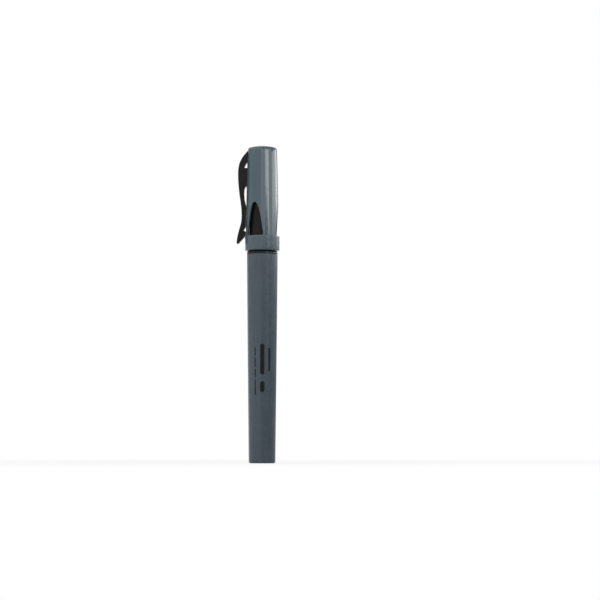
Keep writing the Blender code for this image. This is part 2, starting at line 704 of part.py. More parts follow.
def make_clip_base(tools):
    """Root, arch and boss of the clip, saddled on the cap, with two feet in the cap's wall."""
    inside = -CLIP_FOOT_REACH / 2
    root_foot = CLIP_ROOT_DROP + CLIP_ROOT_HEIGHT
    boss_foot = CLIP_BOSS_DROP + CLIP_BOSS_HEIGHT
    rise = CLIP_BOSS_DROP - CLIP_ROOT_DROP
    knots = [
        clip_point(CLIP_ROOT_DROP, inside, False),
        clip_point(CLIP_ROOT_DROP, CLIP_SEAT_GAP, False),
        clip_point(CLIP_ROOT_DROP + 0.24 * rise, 0.40 * CLIP_ARCH_REACH),
        clip_point(CLIP_ROOT_DROP + 0.48 * rise, 0.70 * CLIP_ARCH_REACH),
        clip_point(CLIP_ROOT_DROP + 0.78 * rise, 0.91 * CLIP_ARCH_REACH),
        clip_point(CLIP_BOSS_DROP + 0.15 * CLIP_BOSS_HEIGHT, CLIP_ARCH_REACH),
        clip_point(CLIP_BOSS_DROP + 0.60 * CLIP_BOSS_HEIGHT, 0.98 * CLIP_ARCH_REACH),
        clip_point(CLIP_NECK_DROP, CLIP_NECK_REACH, False),
        clip_point(CLIP_NECK_DROP, CLIP_NECK_GAP, False),
        clip_point(boss_foot + 0.5 * CLIP_NECK_LENGTH, 0.6 * CLIP_NECK_GAP),
        clip_point(boss_foot, inside, False),
        clip_point(CLIP_BOSS_DROP, inside, False),
        clip_point(CLIP_BOSS_DROP - 0.05 * CLIP_EYE_HEIGHT, 0.75 * CLIP_EYE_REACH),
        clip_point(CLIP_BOSS_DROP - 0.22 * CLIP_EYE_HEIGHT, CLIP_EYE_REACH),
        clip_point(CLIP_BOSS_DROP - 0.62 * CLIP_EYE_HEIGHT, 0.55 * CLIP_EYE_REACH),
        clip_point(root_foot, inside, False),
    ]
    base = outline_slab("clip_base", knots, CLIP_WIDTH)
    round_outline(base, CLIP_EDGE, CAP_TOP - CLIP_NECK_DROP)
    combine(base, make_saddle_cutter(), "DIFFERENCE", tools)
    for name, low, high in clip_feet():
        tip = -cap_radius(high) + CLIP_FOOT_REACH
        root = -cap_radius(low) - CLIP_FOOT_ROOT
        half = CLIP_FOOT_WIDTH / 2
        combine(base, block(name + "_foot", (root, -half, low), (tip, half, high)), "UNION", tools)
    return base


def make_saddle_cutter():
    """The cap's outer shape and a seat gap round it, which hollows the clip where it meets the cap."""
    def saddle_radius(height):
        return cap_radius(height) + CLIP_SEAT_GAP

    foot = CAP_TOP - CLIP_NECK_DROP
    side = swelling_wall(saddle_radius, CAP_TOP, foot, steps=9)
    profile = [(0.0, CAP_TOP)] + side + [(0.0, foot)]
    return turned("clip_saddle", profile, FACETS)


def make_clip_arm():
    """Springy arm of the clip, from its neck to the flared tail."""
    top = CLIP_NECK_DROP + CLIP_SPLIT_GAP
    flare = CLIP_TIP_REACH - CLIP_WAIST_REACH

    def arm_point(share, reach, rounded=True):
        """A knot at a share of the arm's length."""
        return clip_point(top + share * CLIP_ARM_LENGTH, reach, rounded)

    knots = [
        arm_point(0.0, 0.995 * CLIP_NECK_REACH, False),
        arm_point(0.10, 0.91 * CLIP_NECK_REACH),
        arm_point(0.25, 0.72 * CLIP_NECK_REACH),
        arm_point(0.42, 1.03 * CLIP_WAIST_REACH),
        arm_point(0.52, CLIP_WAIST_REACH),
        arm_point(0.62, CLIP_WAIST_REACH + 0.12 * flare),
        arm_point(0.76, CLIP_WAIST_REACH + 0.60 * flare),
        arm_point(0.90, CLIP_WAIST_REACH + 0.93 * flare),
        arm_point(0.97, CLIP_TIP_REACH),
        arm_point(1.0, CLIP_WAIST_REACH + 0.74 * flare),
        arm_point(0.965, CLIP_WAIST_REACH + 0.25 * flare),
        arm_point(0.905, 0.30 * CLIP_TIP_REACH),
        arm_point(0.845, CLIP_REST_GAP, False),
        arm_point(0.775, CLIP_REST_GAP, False),
        arm_point(0.765, 0.65 * CLIP_NOTCH_REACH),
        arm_point(0.75, CLIP_NOTCH_REACH),
        arm_point(0.73, 0.85 * CLIP_NOTCH_REACH),
        arm_point(0.675, CLIP_REST_GAP, False),
        arm_point(0.55, CLIP_REST_GAP, False),
        arm_point(0.43, CLIP_REST_GAP, False),
        arm_point(0.31, CLIP_REST_GAP, False),
        arm_point(0.24, 0.50 * CLIP_NECK_GAP),
        arm_point(0.16, 0.95 * CLIP_NECK_GAP),
        arm_point(0.07, 1.10 * CLIP_NECK_GAP),
        arm_point(0.0, 1.02 * CLIP_NECK_GAP, False),
    ]
    arm = outline_slab("clip_arm", knots, CLIP_WIDTH)
    round_outline(arm, CLIP_EDGE, CAP_TOP - top)
    return arm


def main():
    """Build every piece of the marker."""
    clear_scene()
    parts = new_collection("fine_tip_marker")
    tools = new_collection("construction_shapes")
    coats = {name: plain_material(name) for name in FINISHES}

    finish(make_barrel(tools), coats["slate_plastic"], parts)
    finish(make_reservoir(), coats["reservoir_fibre"], parts)
    finish(make_film(), coats["film_plastic"], parts)
    finish(make_front_section(), coats["black_plastic"], parts)
    finish(make_grip(), coats["grip_rubber"], parts)
    finish(make_nib_holder(), coats["black_plastic"], parts)
    finish(make_nib(), coats["inked_fibre"], parts)
    finish(make_cap_shell(tools), coats["slate_plastic"], parts)
    finish(make_cap_seal(), coats["seal_plastic"], parts)
    finish(make_clip_base(tools), coats["clip_plastic"], parts)
    finish(make_clip_arm(), coats["clip_plastic"], parts)


if __name__ == "__main__":
    main()
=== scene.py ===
"""Fine tip marker, dressed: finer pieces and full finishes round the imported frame, in a pale studio.

The pen stands on z = 0 with its axis on +Z, and its clip points towards -X. Sizes are written in
millimetres and become metres where a mesh is made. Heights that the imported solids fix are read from
their boxes.
"""

from __future__ import annotations

import logging
import math
from dataclasses import dataclass, field
from enum import Enum
from typing import Any, Callable, Mapping, Sequence, Union

import bmesh
import bpy
from mathutils import Matrix, Vector


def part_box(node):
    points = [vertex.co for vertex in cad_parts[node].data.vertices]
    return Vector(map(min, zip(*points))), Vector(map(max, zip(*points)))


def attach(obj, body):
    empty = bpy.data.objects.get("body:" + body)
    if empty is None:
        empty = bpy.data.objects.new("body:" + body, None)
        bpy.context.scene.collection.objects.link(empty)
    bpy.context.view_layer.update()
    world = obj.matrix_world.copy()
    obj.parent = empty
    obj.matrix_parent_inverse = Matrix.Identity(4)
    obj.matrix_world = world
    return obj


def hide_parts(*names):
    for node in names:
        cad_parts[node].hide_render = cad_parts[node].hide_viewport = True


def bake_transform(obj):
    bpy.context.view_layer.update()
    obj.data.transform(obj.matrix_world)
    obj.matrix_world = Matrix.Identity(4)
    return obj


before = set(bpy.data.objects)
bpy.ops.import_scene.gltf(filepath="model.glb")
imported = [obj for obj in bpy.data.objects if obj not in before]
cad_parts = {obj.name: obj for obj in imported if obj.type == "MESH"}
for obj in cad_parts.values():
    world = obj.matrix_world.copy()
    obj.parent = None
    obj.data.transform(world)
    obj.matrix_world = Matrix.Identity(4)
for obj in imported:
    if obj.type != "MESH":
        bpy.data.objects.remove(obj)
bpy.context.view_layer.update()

LOG = logging.getLogger("marker")
MM = 0.001  # metres in a millimetre
SEAT_GAP = 0.05  # between faces that rest on each other
FACETS = 144  # round a turned piece

Colour = tuple[float, float, float]
Point = tuple[float, float]
Value = Union["Signal", float, Sequence[float]]

WHITE: Colour = (1.0, 1.0, 1.0)
EVEN: Colour = (1.0, 1.0, 1.0)  # a noise's grains as long along each axis


class Body(Enum):
    """The frame's moving bodies."""

    MARKER = "marker"
    CAP = "cap"
    SPRING = "clip_spring"


class Slot(Enum):
    """The record's material slots."""

    SLATE = "slate_plastic"
    BLACK = "black_plastic"
    CLIP = "clip_plastic"
    RUBBER = "grip_rubber"
    NIB = "inked_fibre"
    RESERVOIR = "reservoir_fibre"
    FILM = "film_plastic"
    LINER = "seal_plastic"


class Texture(Enum):
    """How a mould's steel is finished, as the size and depth of its grain in millimetres."""

    POLISHED = (1.6, 0.0012)
    SATIN = (0.20, 0.0035)
    SPARK = (0.12, 0.0090)


def bend(start: Point, corner: Point, end: Point, steps: int) -> list[Point]:
    """Draw the smooth bend between two points.

    Args:
        start: Where the bend starts.
        corner: Where its two end tangents meet.
        end: Where the bend ends.
        steps: Number of straight steps along it.

    Returns:
        The points along the bend, both ends included.
    """
    points = []
    for step in range(steps + 1):
        t = step / steps
        a, b, c = (1 - t) ** 2, 2 * t * (1 - t), t ** 2
        points.append(tuple(a * first + b * tip + c * last for first, tip, last in zip(start, corner, end)))
    return points


def wall(radius_at: Callable[[float], float], start: float, end: float, steps: int) -> list[Point]:
    """Draw a turned wall whose radius follows a formula.

    Args:
        radius_at: Radius at a height.
        start: First height.
        end: Last height.
        steps: Number of straight steps between them.

    Returns:
        Points of (radius, height), both ends included.
    """
    heights = [start + (end - start) * step / steps for step in range(steps + 1)]
    return [(radius_at(height), height) for height in heights]


class Course:
    """Smooth line through (place, value) knots that never swings past a knot."""

    def __init__(self, knots: Sequence[Point]) -> None:
        """Work out the slope at each knot."""
        self.knots = list(knots)
        gaps = [
            (after[1] - before[1]) / (after[0] - before[0])
            for before, after in zip(self.knots, self.knots[1:])
        ]
        inner = [2 * a * b / (a + b) if a * b > 0 else 0.0 for a, b in zip(gaps, gaps[1:])]
        self.slopes = [gaps[0], *inner, gaps[-1]]

    def __call__(self, place: float) -> float:
        """Return the value at a place, held level beyond the ends."""
        place = min(max(place, self.knots[0][0]), self.knots[-1][0])
        index = max(i for i, knot in enumerate(self.knots[:-1]) if knot[0] <= place)
        (x0, y0), (x1, y1) = self.knots[index:index + 2]
        step = x1 - x0
        t = (place - x0) / step
        return (
            (1 + 2 * t) * (1 - t) ** 2 * y0
            + t * (1 - t) ** 2 * step * self.slopes[index]
            + t * t * (3 - 2 * t) * y1
            - t * t * (1 - t) * step * self.slopes[index + 1]
        )


class Shape:
    """Points and faces of one piece, gathered in millimetres."""

    def __init__(self) -> None:
        """Start with nothing."""
        self.points: list[tuple[float, float, float]] = []
        self.faces: list[tuple[int, ...]] = []

    def add(self, x: float, y: float, z: float) -> int:
        """Add a point and return its number."""
        self.points.append((x, y, z))
        return len(self.points) - 1

    def ring(self, radius: float, height: float, facets: int) -> list[int]:
        """Add a level circle about the pen's axis and return its points' numbers."""
        turns = [math.tau * index / facets for index in range(facets)]
        return [self.add(radius * math.cos(turn), radius * math.sin(turn), height) for turn in turns]

    def bridge(self, first: Sequence[int], second: Sequence[int], closed: bool = True) -> None:
        """Join two rows of the same length with quads.

        Args:
            first: Point numbers of one row.
            second: Point numbers of the other row.
            closed: Whether the rows run all the way round.
        """
        count = len(first)
        for index in range(count if closed else count - 1):
            after = (index + 1) % count
            self.faces.append((first[index], first[after], second[after], second[index]))

    def fan(self, ring: Sequence[int], centre: int) -> None:
        """Close a ring with triangles that meet at one point."""
        for index, corner in enumerate(ring):
            self.faces.append((corner, ring[(index + 1) % len(ring)], centre))

    def turn(self, profile: Sequence[Point], facets: int = FACETS, closed: bool = False) -> None:
        """Turn a profile about the pen's axis.

        Args:
            profile: Points of (radius, height). An open one starts and ends on the axis.
            facets: Number of flats round the piece.
            closed: Whether the last point joins the first, for a piece with a hole along its axis.
        """
        rounds = profile if closed else profile[1:-1]
        rings = [self.ring(radius, height, facets) for radius, height in rounds]
        for lower, upper in zip(rings, rings[1:]):
            self.bridge(lower, upper)
        if closed:
            self.bridge(rings[-1], rings[0])
        else:
            self.fan(rings[0], self.add(0.0, 0.0, profile[0][1]))
            self.fan(rings[-1], self.add(0.0, 0.0, profile[-1][1]))

    def piece(self, name: str, sharp: float = 38.0) -> bpy.types.Object:
        """Make the object.

        Args:
            name: The piece's name.
            sharp: Angle in degrees above which an edge is shaded as a crease.

        Returns:
            The object, in the scene, with its edges marked for wear.
        """
        mesh = bpy.data.meshes.new(name)
        mesh.from_pydata([tuple(MM * part for part in point) for point in self.points], [], self.faces)
        shape = bmesh.new()
        shape.from_mesh(mesh)
        bmesh.ops.recalc_face_normals(shape, faces=shape.faces)
        shape.to_mesh(mesh)
        mesh.attributes.new("edge_wear", "FLOAT", "POINT").data.foreach_set("value", self.rounding(shape))
        shape.free()
        mesh.shade_smooth()
        mesh.set_sharp_from_angle(angle=math.radians(sharp))
        made = bpy.data.objects.new(name, mesh)
        bpy.context.scene.collection.objects.link(made)
        normals = made.modifiers.new("Even shading", "WEIGHTED_NORMAL")
        normals.keep_sharp = True
        return made

    @staticmethod
    def rounding(shape: bmesh.types.BMesh) -> list[float]:
        """Rate how sharply each point stands out of the surface.

        Args:
            shape: The piece's mesh in metres.

        Returns:
            One value per point, 0 on a plain wall and 1 on a tight outer edge.
        """
        least, span = 0.6, 2.4  # radians of turn per millimetre: where wear starts, and on to full wear
        nearest = 0.02  # millimetres, so that slivers don't count as tight
        tight = [0.0] * len(shape.verts)
        for edge in shape.edges:
            if len(edge.link_faces) != 2:
                continue
            one, other = (side.calc_center_median() for side in edge.link_faces)
            curve = edge.calc_face_angle_signed(0.0) / max((one - other).length / MM, nearest)
            for vert in edge.verts:
                tight[vert.index] = max(tight[vert.index], min(max((curve - least) / span, 0.0), 1.0))
        return tight


def turned(
    name: str, profile: Sequence[Point], facets: int = FACETS, closed: bool = False
) -> bpy.types.Object:
    """Make a piece by turning one profile, as Shape.turn and Shape.piece describe."""
    shape = Shape()
    shape.turn(profile, facets, closed)
    return shape.piece(name)


class Signal:
    """One output of a shader node, with the arithmetic that the finishes use on numbers."""

    def __init__(self, sketch: Sketch, socket: bpy.types.NodeSocket) -> None:
        """Keep the socket and the sketch that it belongs to."""
        self.sketch = sketch
        self.socket = socket

    def _math(self, operation: str, *terms: Value) -> Signal:
        """Add a Math node on one or more terms."""
        return self.sketch.node("ShaderNodeMath", {"operation": operation}, dict(enumerate(terms)))

    def __add__(self, other: Value) -> Signal:
        """Return self + other."""
        return self._math("ADD", self, other)

    def __radd__(self, other: Value) -> Signal:
        """Return other + self."""
        return self._math("ADD", other, self)

    def __sub__(self, other: Value) -> Signal:
        """Return self - other."""
        return self._math("SUBTRACT", self, other)

    def __rsub__(self, other: Value) -> Signal:
        """Return other - self."""
        return self._math("SUBTRACT", other, self)

    def __mul__(self, other: Value) -> Signal:
        """Return self * other."""
        return self._math("MULTIPLY", self, other)

    def __rmul__(self, other: Value) -> Signal:
        """Return other * self."""
        return self._math("MULTIPLY", other, self)

    def __pow__(self, other: Value) -> Signal:
        """Return self to a power."""
        return self._math("POWER", self, other)

    def __neg__(self) -> Signal:
        """Return -self."""
        return self._math("MULTIPLY", self, -1.0)

    def __abs__(self) -> Signal:
        """Return the size of self without its sign."""
        return self._math("ABSOLUTE", self)

    def at_least(self, other: Value) -> Signal:
        """Return the larger of self and other."""
        return self._math("MAXIMUM", self, other)

    def turn_to(self, other: Value) -> Signal:
        """Return the angle of the direction (other, self)."""
        return self._math("ARCTAN2", self, other)

    def rise(self, low: float, high: float) -> Signal:
        """Return 0 below low and 1 above high, with a smooth step between them."""
        return self.sketch.node(
            "ShaderNodeMapRange", {"interpolation_type": "SMOOTHSTEP"},
            {"Value": self, "From Min": low, "From Max": high},
        )

    def beside(self, output: Union[int, str]) -> Signal:
        """Return another output of the same node."""
        return Signal(self.sketch, self.socket.node.outputs[output])


class Sketch:
    """A node tree that is being drawn, with the few kinds of node that the finishes share."""

    def __init__(self, tree: bpy.types.NodeTree) -> None:
        """Start on a node tree."""
        self.tree = tree

    def node(
        self,
        kind: str,
        settings: Mapping[str, Any] | None = None,
        inputs: Mapping[Union[int, str], Value] | None = None,
        output: Union[int, str] = 0,
    ) -> Signal:
        """Add a node.

        Args:
            kind: The node's type.
            settings: Its own settings, such as a Math node's operation, set first.
            inputs: What goes in its sockets, as a signal to link or a plain value.
            output: The socket to return.

        Returns:
            The chosen output.
        """
        made = self.tree.nodes.new(kind)
        for key, value in (settings or {}).items():
            setattr(made, key, value)
        for key, value in (inputs or {}).items():
            self.feed(made.inputs[key], value)
        return Signal(self, made.outputs[output]) if made.outputs else Signal(self, made.inputs[0])

    def feed(self, socket: bpy.types.NodeSocket, value: Value) -> None:
        """Link a signal to a socket, or set a plain value on it."""
        if isinstance(value, Signal):
            self.tree.links.new(value.socket, socket)
        elif socket.type == "RGBA" and len(value) == 3:
            socket.default_value = (*value, 1.0)
        else:
            socket.default_value = value

    def blend(self, share: Value, first: Value, second: Value) -> Signal:
        """Mix two colours.

        Args:
            share: Share of the second colour.
            first: The colour at a share of 0.
            second: The colour at a share of 1.

        Returns:
            The mixed colour.
        """
        inputs = {"Factor": share, 6: first, 7: second}
        return self.node("ShaderNodeMix", {"data_type": "RGBA"}, inputs, output=2)

    def place(self) -> Signal:
        """Return the point's place on its own piece, in millimetres."""
        metres = self.node("ShaderNodeTexCoord", output="Object")
        return self.node("ShaderNodeVectorMath", {"operation": "SCALE"}, {0: metres, "Scale": 1.0 / MM})

    def axes(self, place: Signal) -> tuple[Signal, Signal, Signal]:
        """Split a place or direction into x, y and z."""
        x = self.node("ShaderNodeSeparateXYZ", None, {0: place})
        return x, x.beside(1), x.beside(2)

    def noise(
        self, place: Signal, size: float, detail: float = 2.0, stretch: Colour = EVEN
    ) -> Signal:
        """Add a noise.

        Args:
            place: Place in millimetres.
            size: Width of its grains in millimetres.
            detail: How many finer layers it has.
            stretch: How much longer a grain is along each axis.

        Returns:
            A value about 0.5, mostly between 0.3 and 0.7.
        """
        squeeze = tuple(1.0 / (size * length) for length in stretch)
        scaled = self.node("ShaderNodeVectorMath", {"operation": "MULTIPLY"}, {0: place, 1: squeeze})
        return self.node("ShaderNodeTexNoise", None, {"Vector": scaled, "Scale": 1.0, "Detail": detail})


class Coat:
    """A finish in the making: its colour, roughness and relief, which marks can still be laid over."""

    def __init__(self, name: str, colour: Colour, roughness: float) -> None:
        """Start from one plain colour and roughness.

        Args:
            name: The material's name.
            colour: Linear colour.
            roughness: Roughness of the shader.
        """
        self.material = bpy.data.materials.new(name)
        self.material.use_nodes = True
        self.material.diffuse_color = (*colour, 1.0)
        self.sketch = Sketch(self.material.node_tree)
        self.shader = self.material.node_tree.nodes["Principled BSDF"]
        self.spot = self.sketch.place()
        self.colour: Value = colour
        self.roughness: Value = roughness
        self.relief: Value = 0.0

    def tint(self, share: Value, colour: Colour) -> Coat:
        """Lay a share of another colour over the coat."""
        self.colour = self.sketch.blend(share, self.colour, colour)
        return self

    def dull(self, amount: Value) -> Coat:
        """Add to the roughness."""
        self.roughness = amount + self.roughness
        return self

    def raise_by(self, height: Value) -> Coat:
        """Add to the relief, in millimetres."""
        self.relief = height + self.relief
        return self

    def gate_mark(self, radius: float, here: Value) -> Coat:
        """Leave the small round scar where the plastic came into the mould, on the pen's axis.

        Args:
            radius: Radius of the scar in millimetres.
            here: 1 on the end that carries it and 0 elsewhere.

        Returns:
            The coat.
        """
        x, y, _ = self.sketch.axes(self.spot)
        out = (x * x + y * y) ** 0.5
        ring = (1.0 - abs(out - radius).rise(0.05, 0.12)) * here
        core = (1.0 - out.rise(0.5 * radius, 0.7 * radius)) * here
        self.dull(core * 0.25)
        self.raise_by(core * 0.020)
        return self.raise_by(ring * -0.030)

    def edge(self) -> Signal:
        """Return how much a point lies on a worn outer edge."""
        return self.sketch.node("ShaderNodeAttribute", {"attribute_name": "edge_wear"}, output="Fac")

    def fix(self, **constants: Value) -> bpy.types.Material:
        """Connect the coat to its shader.

        Args:
            **constants: Values of other sockets, with _ for a space in the socket's name.

        Returns:
            The finished material.
        """
        inputs = self.shader.inputs
        bump = self.sketch.node(
            "ShaderNodeBump", None, {"Height": self.relief, "Distance": MM, "Strength": 1.0}
        )
        self.sketch.feed(inputs["Base Color"], self.colour)
        self.sketch.feed(inputs["Roughness"], self.roughness)
        self.sketch.feed(inputs["Normal"], bump)
        for key, value in constants.items():
            self.sketch.feed(inputs[key.replace("_", " ")], value)
        return self.material


@dataclass(frozen=True)
class MouldedPlastic:
    """Injection-moulded plastic with its mould's grain, faint flow lines and marks of handling.

    Attributes:
        name: The material's name.
        colour: Linear colour.
        roughness: Roughness between its marks.
        texture: Finish of the mould's steel.
        handling: How far hairlines and finger marks show, from 0 to 1.
        flow: How far the flow lines of the mould show, from 0 to 1.
        wave: Depth of the long unevenness that bends reflections, in millimetres.
        flow_width: Width of a flow line in millimetres.
        cloud_width: Width of a pale cloud in millimetres.
        hair_width: Width of a hairline in millimetres.
        hair_depth: Depth of a hairline in millimetres.
        touch_width: Width of a finger mark in millimetres.
        grain_dulling: How far the grain changes the roughness.
    """

    name: str
    colour: Colour
    roughness: float
    texture: Texture = Texture.SATIN
    handling: float = 0.5
    flow: float = 0.5
    wave: float = 0.004
    flow_width: float = 2.6
    cloud_width: float = 7.0
    hair_width: float = 0.16
    hair_depth: float = 0.0010
    touch_width: float = 4.5
    grain_dulling: float = 0.14

    def coat(self) -> Coat:
        """Make the coat, ready for marks of its own piece."""
        coat = Coat(self.name, self.colour, self.roughness)
        sketch, spot = coat.sketch, coat.spot
        size, depth = self.texture.value
        grain = sketch.noise(spot, size, 3.0)
        flow = sketch.noise(spot, self.flow_width, 3.0, (1.0, 1.0, 9.0))
        cloud = sketch.noise(spot, self.cloud_width, 2.0)
        hairs = sketch.noise(spot, self.hair_width, 1.0, (1.0, 1.0, 60.0)).rise(0.61, 0.72)
        hairs = hairs * sketch.noise(spot, 9.0, 2.0).rise(0.45, 0.62) * self.handling
        touch = sketch.noise(spot, self.touch_width, 4.0, (1.0, 1.0, 1.7)).rise(0.42, 0.66)
        touch = touch * self.handling
        lighter, darker = shade(self.colour, 1.25, 0.012), shade(self.colour, 0.84)
        coat.tint(flow.rise(0.35, 0.65) * (0.45 * self.flow), darker)
        coat.tint(cloud.rise(0.40, 0.70) * (0.30 * self.flow), lighter)
        coat.tint(hairs * 0.50, lighter)
        coat.tint(coat.edge() * (0.35 + 0.3 * self.handling), lighter)
        coat.dull(hairs * 0.20)
        coat.dull(touch * 0.06)
        coat.dull(coat.edge() * -0.06)
        coat.dull((grain - 0.5) * self.grain_dulling)
        coat.raise_by(grain * depth)
        coat.raise_by(cloud * self.wave)
        coat.raise_by(hairs * -self.hair_depth)
        return coat


@dataclass(frozen=True)
class SoftRubber:
    """Soft grip rubber: matt, finely pored and a little polished where fingers rub it.

    Attributes:
        name: The material's name.
        colour: Linear colour.
        roughness: Roughness between its marks.
        pore: Width of its pores in millimetres.
        rubbed_width: Width of a rubbed patch in millimetres.
        bloom_width: Width of a pale bloom in millimetres.
        speck_width: Width of a speck of dust in millimetres.
        speck_colour: Linear colour of a speck.
    """

    name: str
    colour: Colour
    roughness: float = 0.58
    pore: float = 0.09
    rubbed_width: float = 5.0
    bloom_width: float = 2.2
    speck_width: float = 0.20
    speck_colour: Colour = (0.11, 0.11, 0.105)

    def coat(self) -> Coat:
        """Make the coat."""
        coat = Coat(self.name, self.colour, self.roughness)
        sketch, spot = coat.sketch, coat.spot
        pores = sketch.noise(spot, self.pore, 3.0)
        rubbed = sketch.noise(spot, self.rubbed_width, 3.0, (1.0, 1.0, 1.6)).rise(0.42, 0.66)
        bloom = sketch.noise(spot, self.bloom_width, 4.0).rise(0.50, 0.72)
        specks = sketch.noise(spot, self.speck_width, 1.0).rise(0.74, 0.80)
        coat.tint(bloom * 0.35, shade(self.colour, 1.45, 0.004))
        coat.tint(rubbed * 0.25, shade(self.colour, 0.75))
        coat.tint(specks * 0.35, self.speck_colour)
        coat.tint(coat.edge() * 0.40, shade(self.colour, 1.8, 0.004))
        coat.dull(rubbed * -0.09)
        coat.dull((pores - 0.5) * 0.18)
        coat.raise_by(pores * 0.006)
        coat.raise_by(bloom * 0.0015)
        return coat


@dataclass(frozen=True)
class BondedFibre:
    """Bundle of bonded fibres along the pen's axis, soaked with ink.

    Attributes:
        name: The material's name.
        dry: Linear colour of a fibre's crest.
        soaked: Linear colour between the fibres.
        strand: Width of a strand in millimetres.
        depth: Depth between the strands in millimetres.
    """

    name: str
    dry: Colour
    soaked: Colour
    strand: float
    depth: float

    def coat(self) -> Coat:
        """Make the coat."""
        coat = Coat(self.name, self.soaked, 0.72)
        sketch, spot = coat.sketch, coat.spot
        strands = sketch.noise(spot, self.strand, 3.0, (1.0, 1.0, 24.0))
        knots = sketch.noise(spot, 1.8 * self.strand, 3.0)
        wet = sketch.noise(spot, 6.0 * self.strand, 3.0, (1.0, 1.0, 2.0)).rise(0.40, 0.65)
        coat.tint(strands.rise(0.42, 0.64) * (1.0 - 0.6 * wet), self.dry)
        coat.dull(wet * -0.20)
        coat.dull((knots - 0.5) * 0.25)
        coat.raise_by(strands * self.depth)
        coat.raise_by(knots * (0.4 * self.depth))
        return coat


@dataclass(frozen=True)
class WrappingFilm:
    """Thin clear film with faint lengthwise creases.

    Attributes:
        name: The material's name.
        colour: Linear colour.
        veil: Share of light that it holds back.
    """

    name: str
    colour: Colour
    veil: float = 0.4

    def coat(self) -> Coat:
        """Make the coat."""
        coat = Coat(self.name, self.colour, 0.16)
        creases = coat.sketch.noise(coat.spot, 0.7, 2.0, (1.0, 1.0, 14.0))
        haze = coat.sketch.noise(coat.spot, 2.5, 3.0).rise(0.40, 0.70)
        coat.tint(haze * 0.30, shade(self.colour, 0.85))
        coat.dull(haze * 0.14)
        coat.raise_by(creases.rise(0.50, 0.62) * 0.008)
        return coat


SLATE_BARREL = MouldedPlastic(
    "slate_barrel", (0.045, 0.067, 0.085), 0.25, Texture.SATIN, 0.50, 0.35, 0.004
)
SLATE_CAP = MouldedPlastic(
    "slate_cap", (0.054, 0.088, 0.108), 0.10, Texture.POLISHED, 0.45, 0.5, 0.004
)
SECTION_BLACK = MouldedPlastic(
    "section_black", (0.0056, 0.0063, 0.0054), 0.22, Texture.SATIN, 0.5, 0.5, 0.005
)
CLIP_BLACK = MouldedPlastic(
    "clip_black", (0.0052, 0.0058, 0.0054), 0.36, Texture.SPARK, 0.6, 0.4, 0.004
)
HOLDER_BLACK = MouldedPlastic(
    "holder_black", SECTION_BLACK.colour, 0.42, Texture.SATIN, 0.3, 0.4, 0.003
)
GRIP_RUBBER = SoftRubber("grip_rubber_soft", (0.0058, 0.0066, 0.0056), 0.46)
NIB_FIBRE = BondedFibre("nib_fibre_inked", (0.060, 0.056, 0.048), (0.012, 0.012, 0.013), 0.07, 0.010)
RESERVOIR_FIBRE = BondedFibre(
    "reservoir_fibre_inked", (0.130, 0.130, 0.135), (0.016, 0.016, 0.020), 0.16, 0.030
)
FILM = WrappingFilm("reservoir_wrap", (0.62, 0.64, 0.65))
LINER = MouldedPlastic("liner_grey", (0.165, 0.175, 0.180), 0.42, Texture.SATIN, 0.2, 0.6, 0.004)
PRINT_INK: Colour = (0.010, 0.011, 0.013)


def height_of(node: str, top: bool = True) -> float:
    """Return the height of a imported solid's top or foot, in millimetres."""
    return round(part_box(node)[1 if top else 0].z / MM, 4)


def seat(piece: bpy.types.Object, body: Body, slot: Slot, *nodes: str) -> None:
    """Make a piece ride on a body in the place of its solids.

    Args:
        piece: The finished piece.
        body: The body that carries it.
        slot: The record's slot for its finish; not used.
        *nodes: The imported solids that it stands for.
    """
    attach(piece, body.value)
    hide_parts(*nodes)


def shade(colour: Colour, factor: float, lift: float = 0.0) -> Colour:
    """Return a colour times a factor, plus a grey lift."""
    return tuple(min(1.0, factor * part + lift) for part in colour)


def cover(piece: bpy.types.Object, material: bpy.types.Material) -> None:
    """Give a piece one material."""
    if piece.data.materials:
        for index in range(len(piece.data.materials)):
            piece.data.materials[index] = material
    else:
        piece.data.materials.append(material)


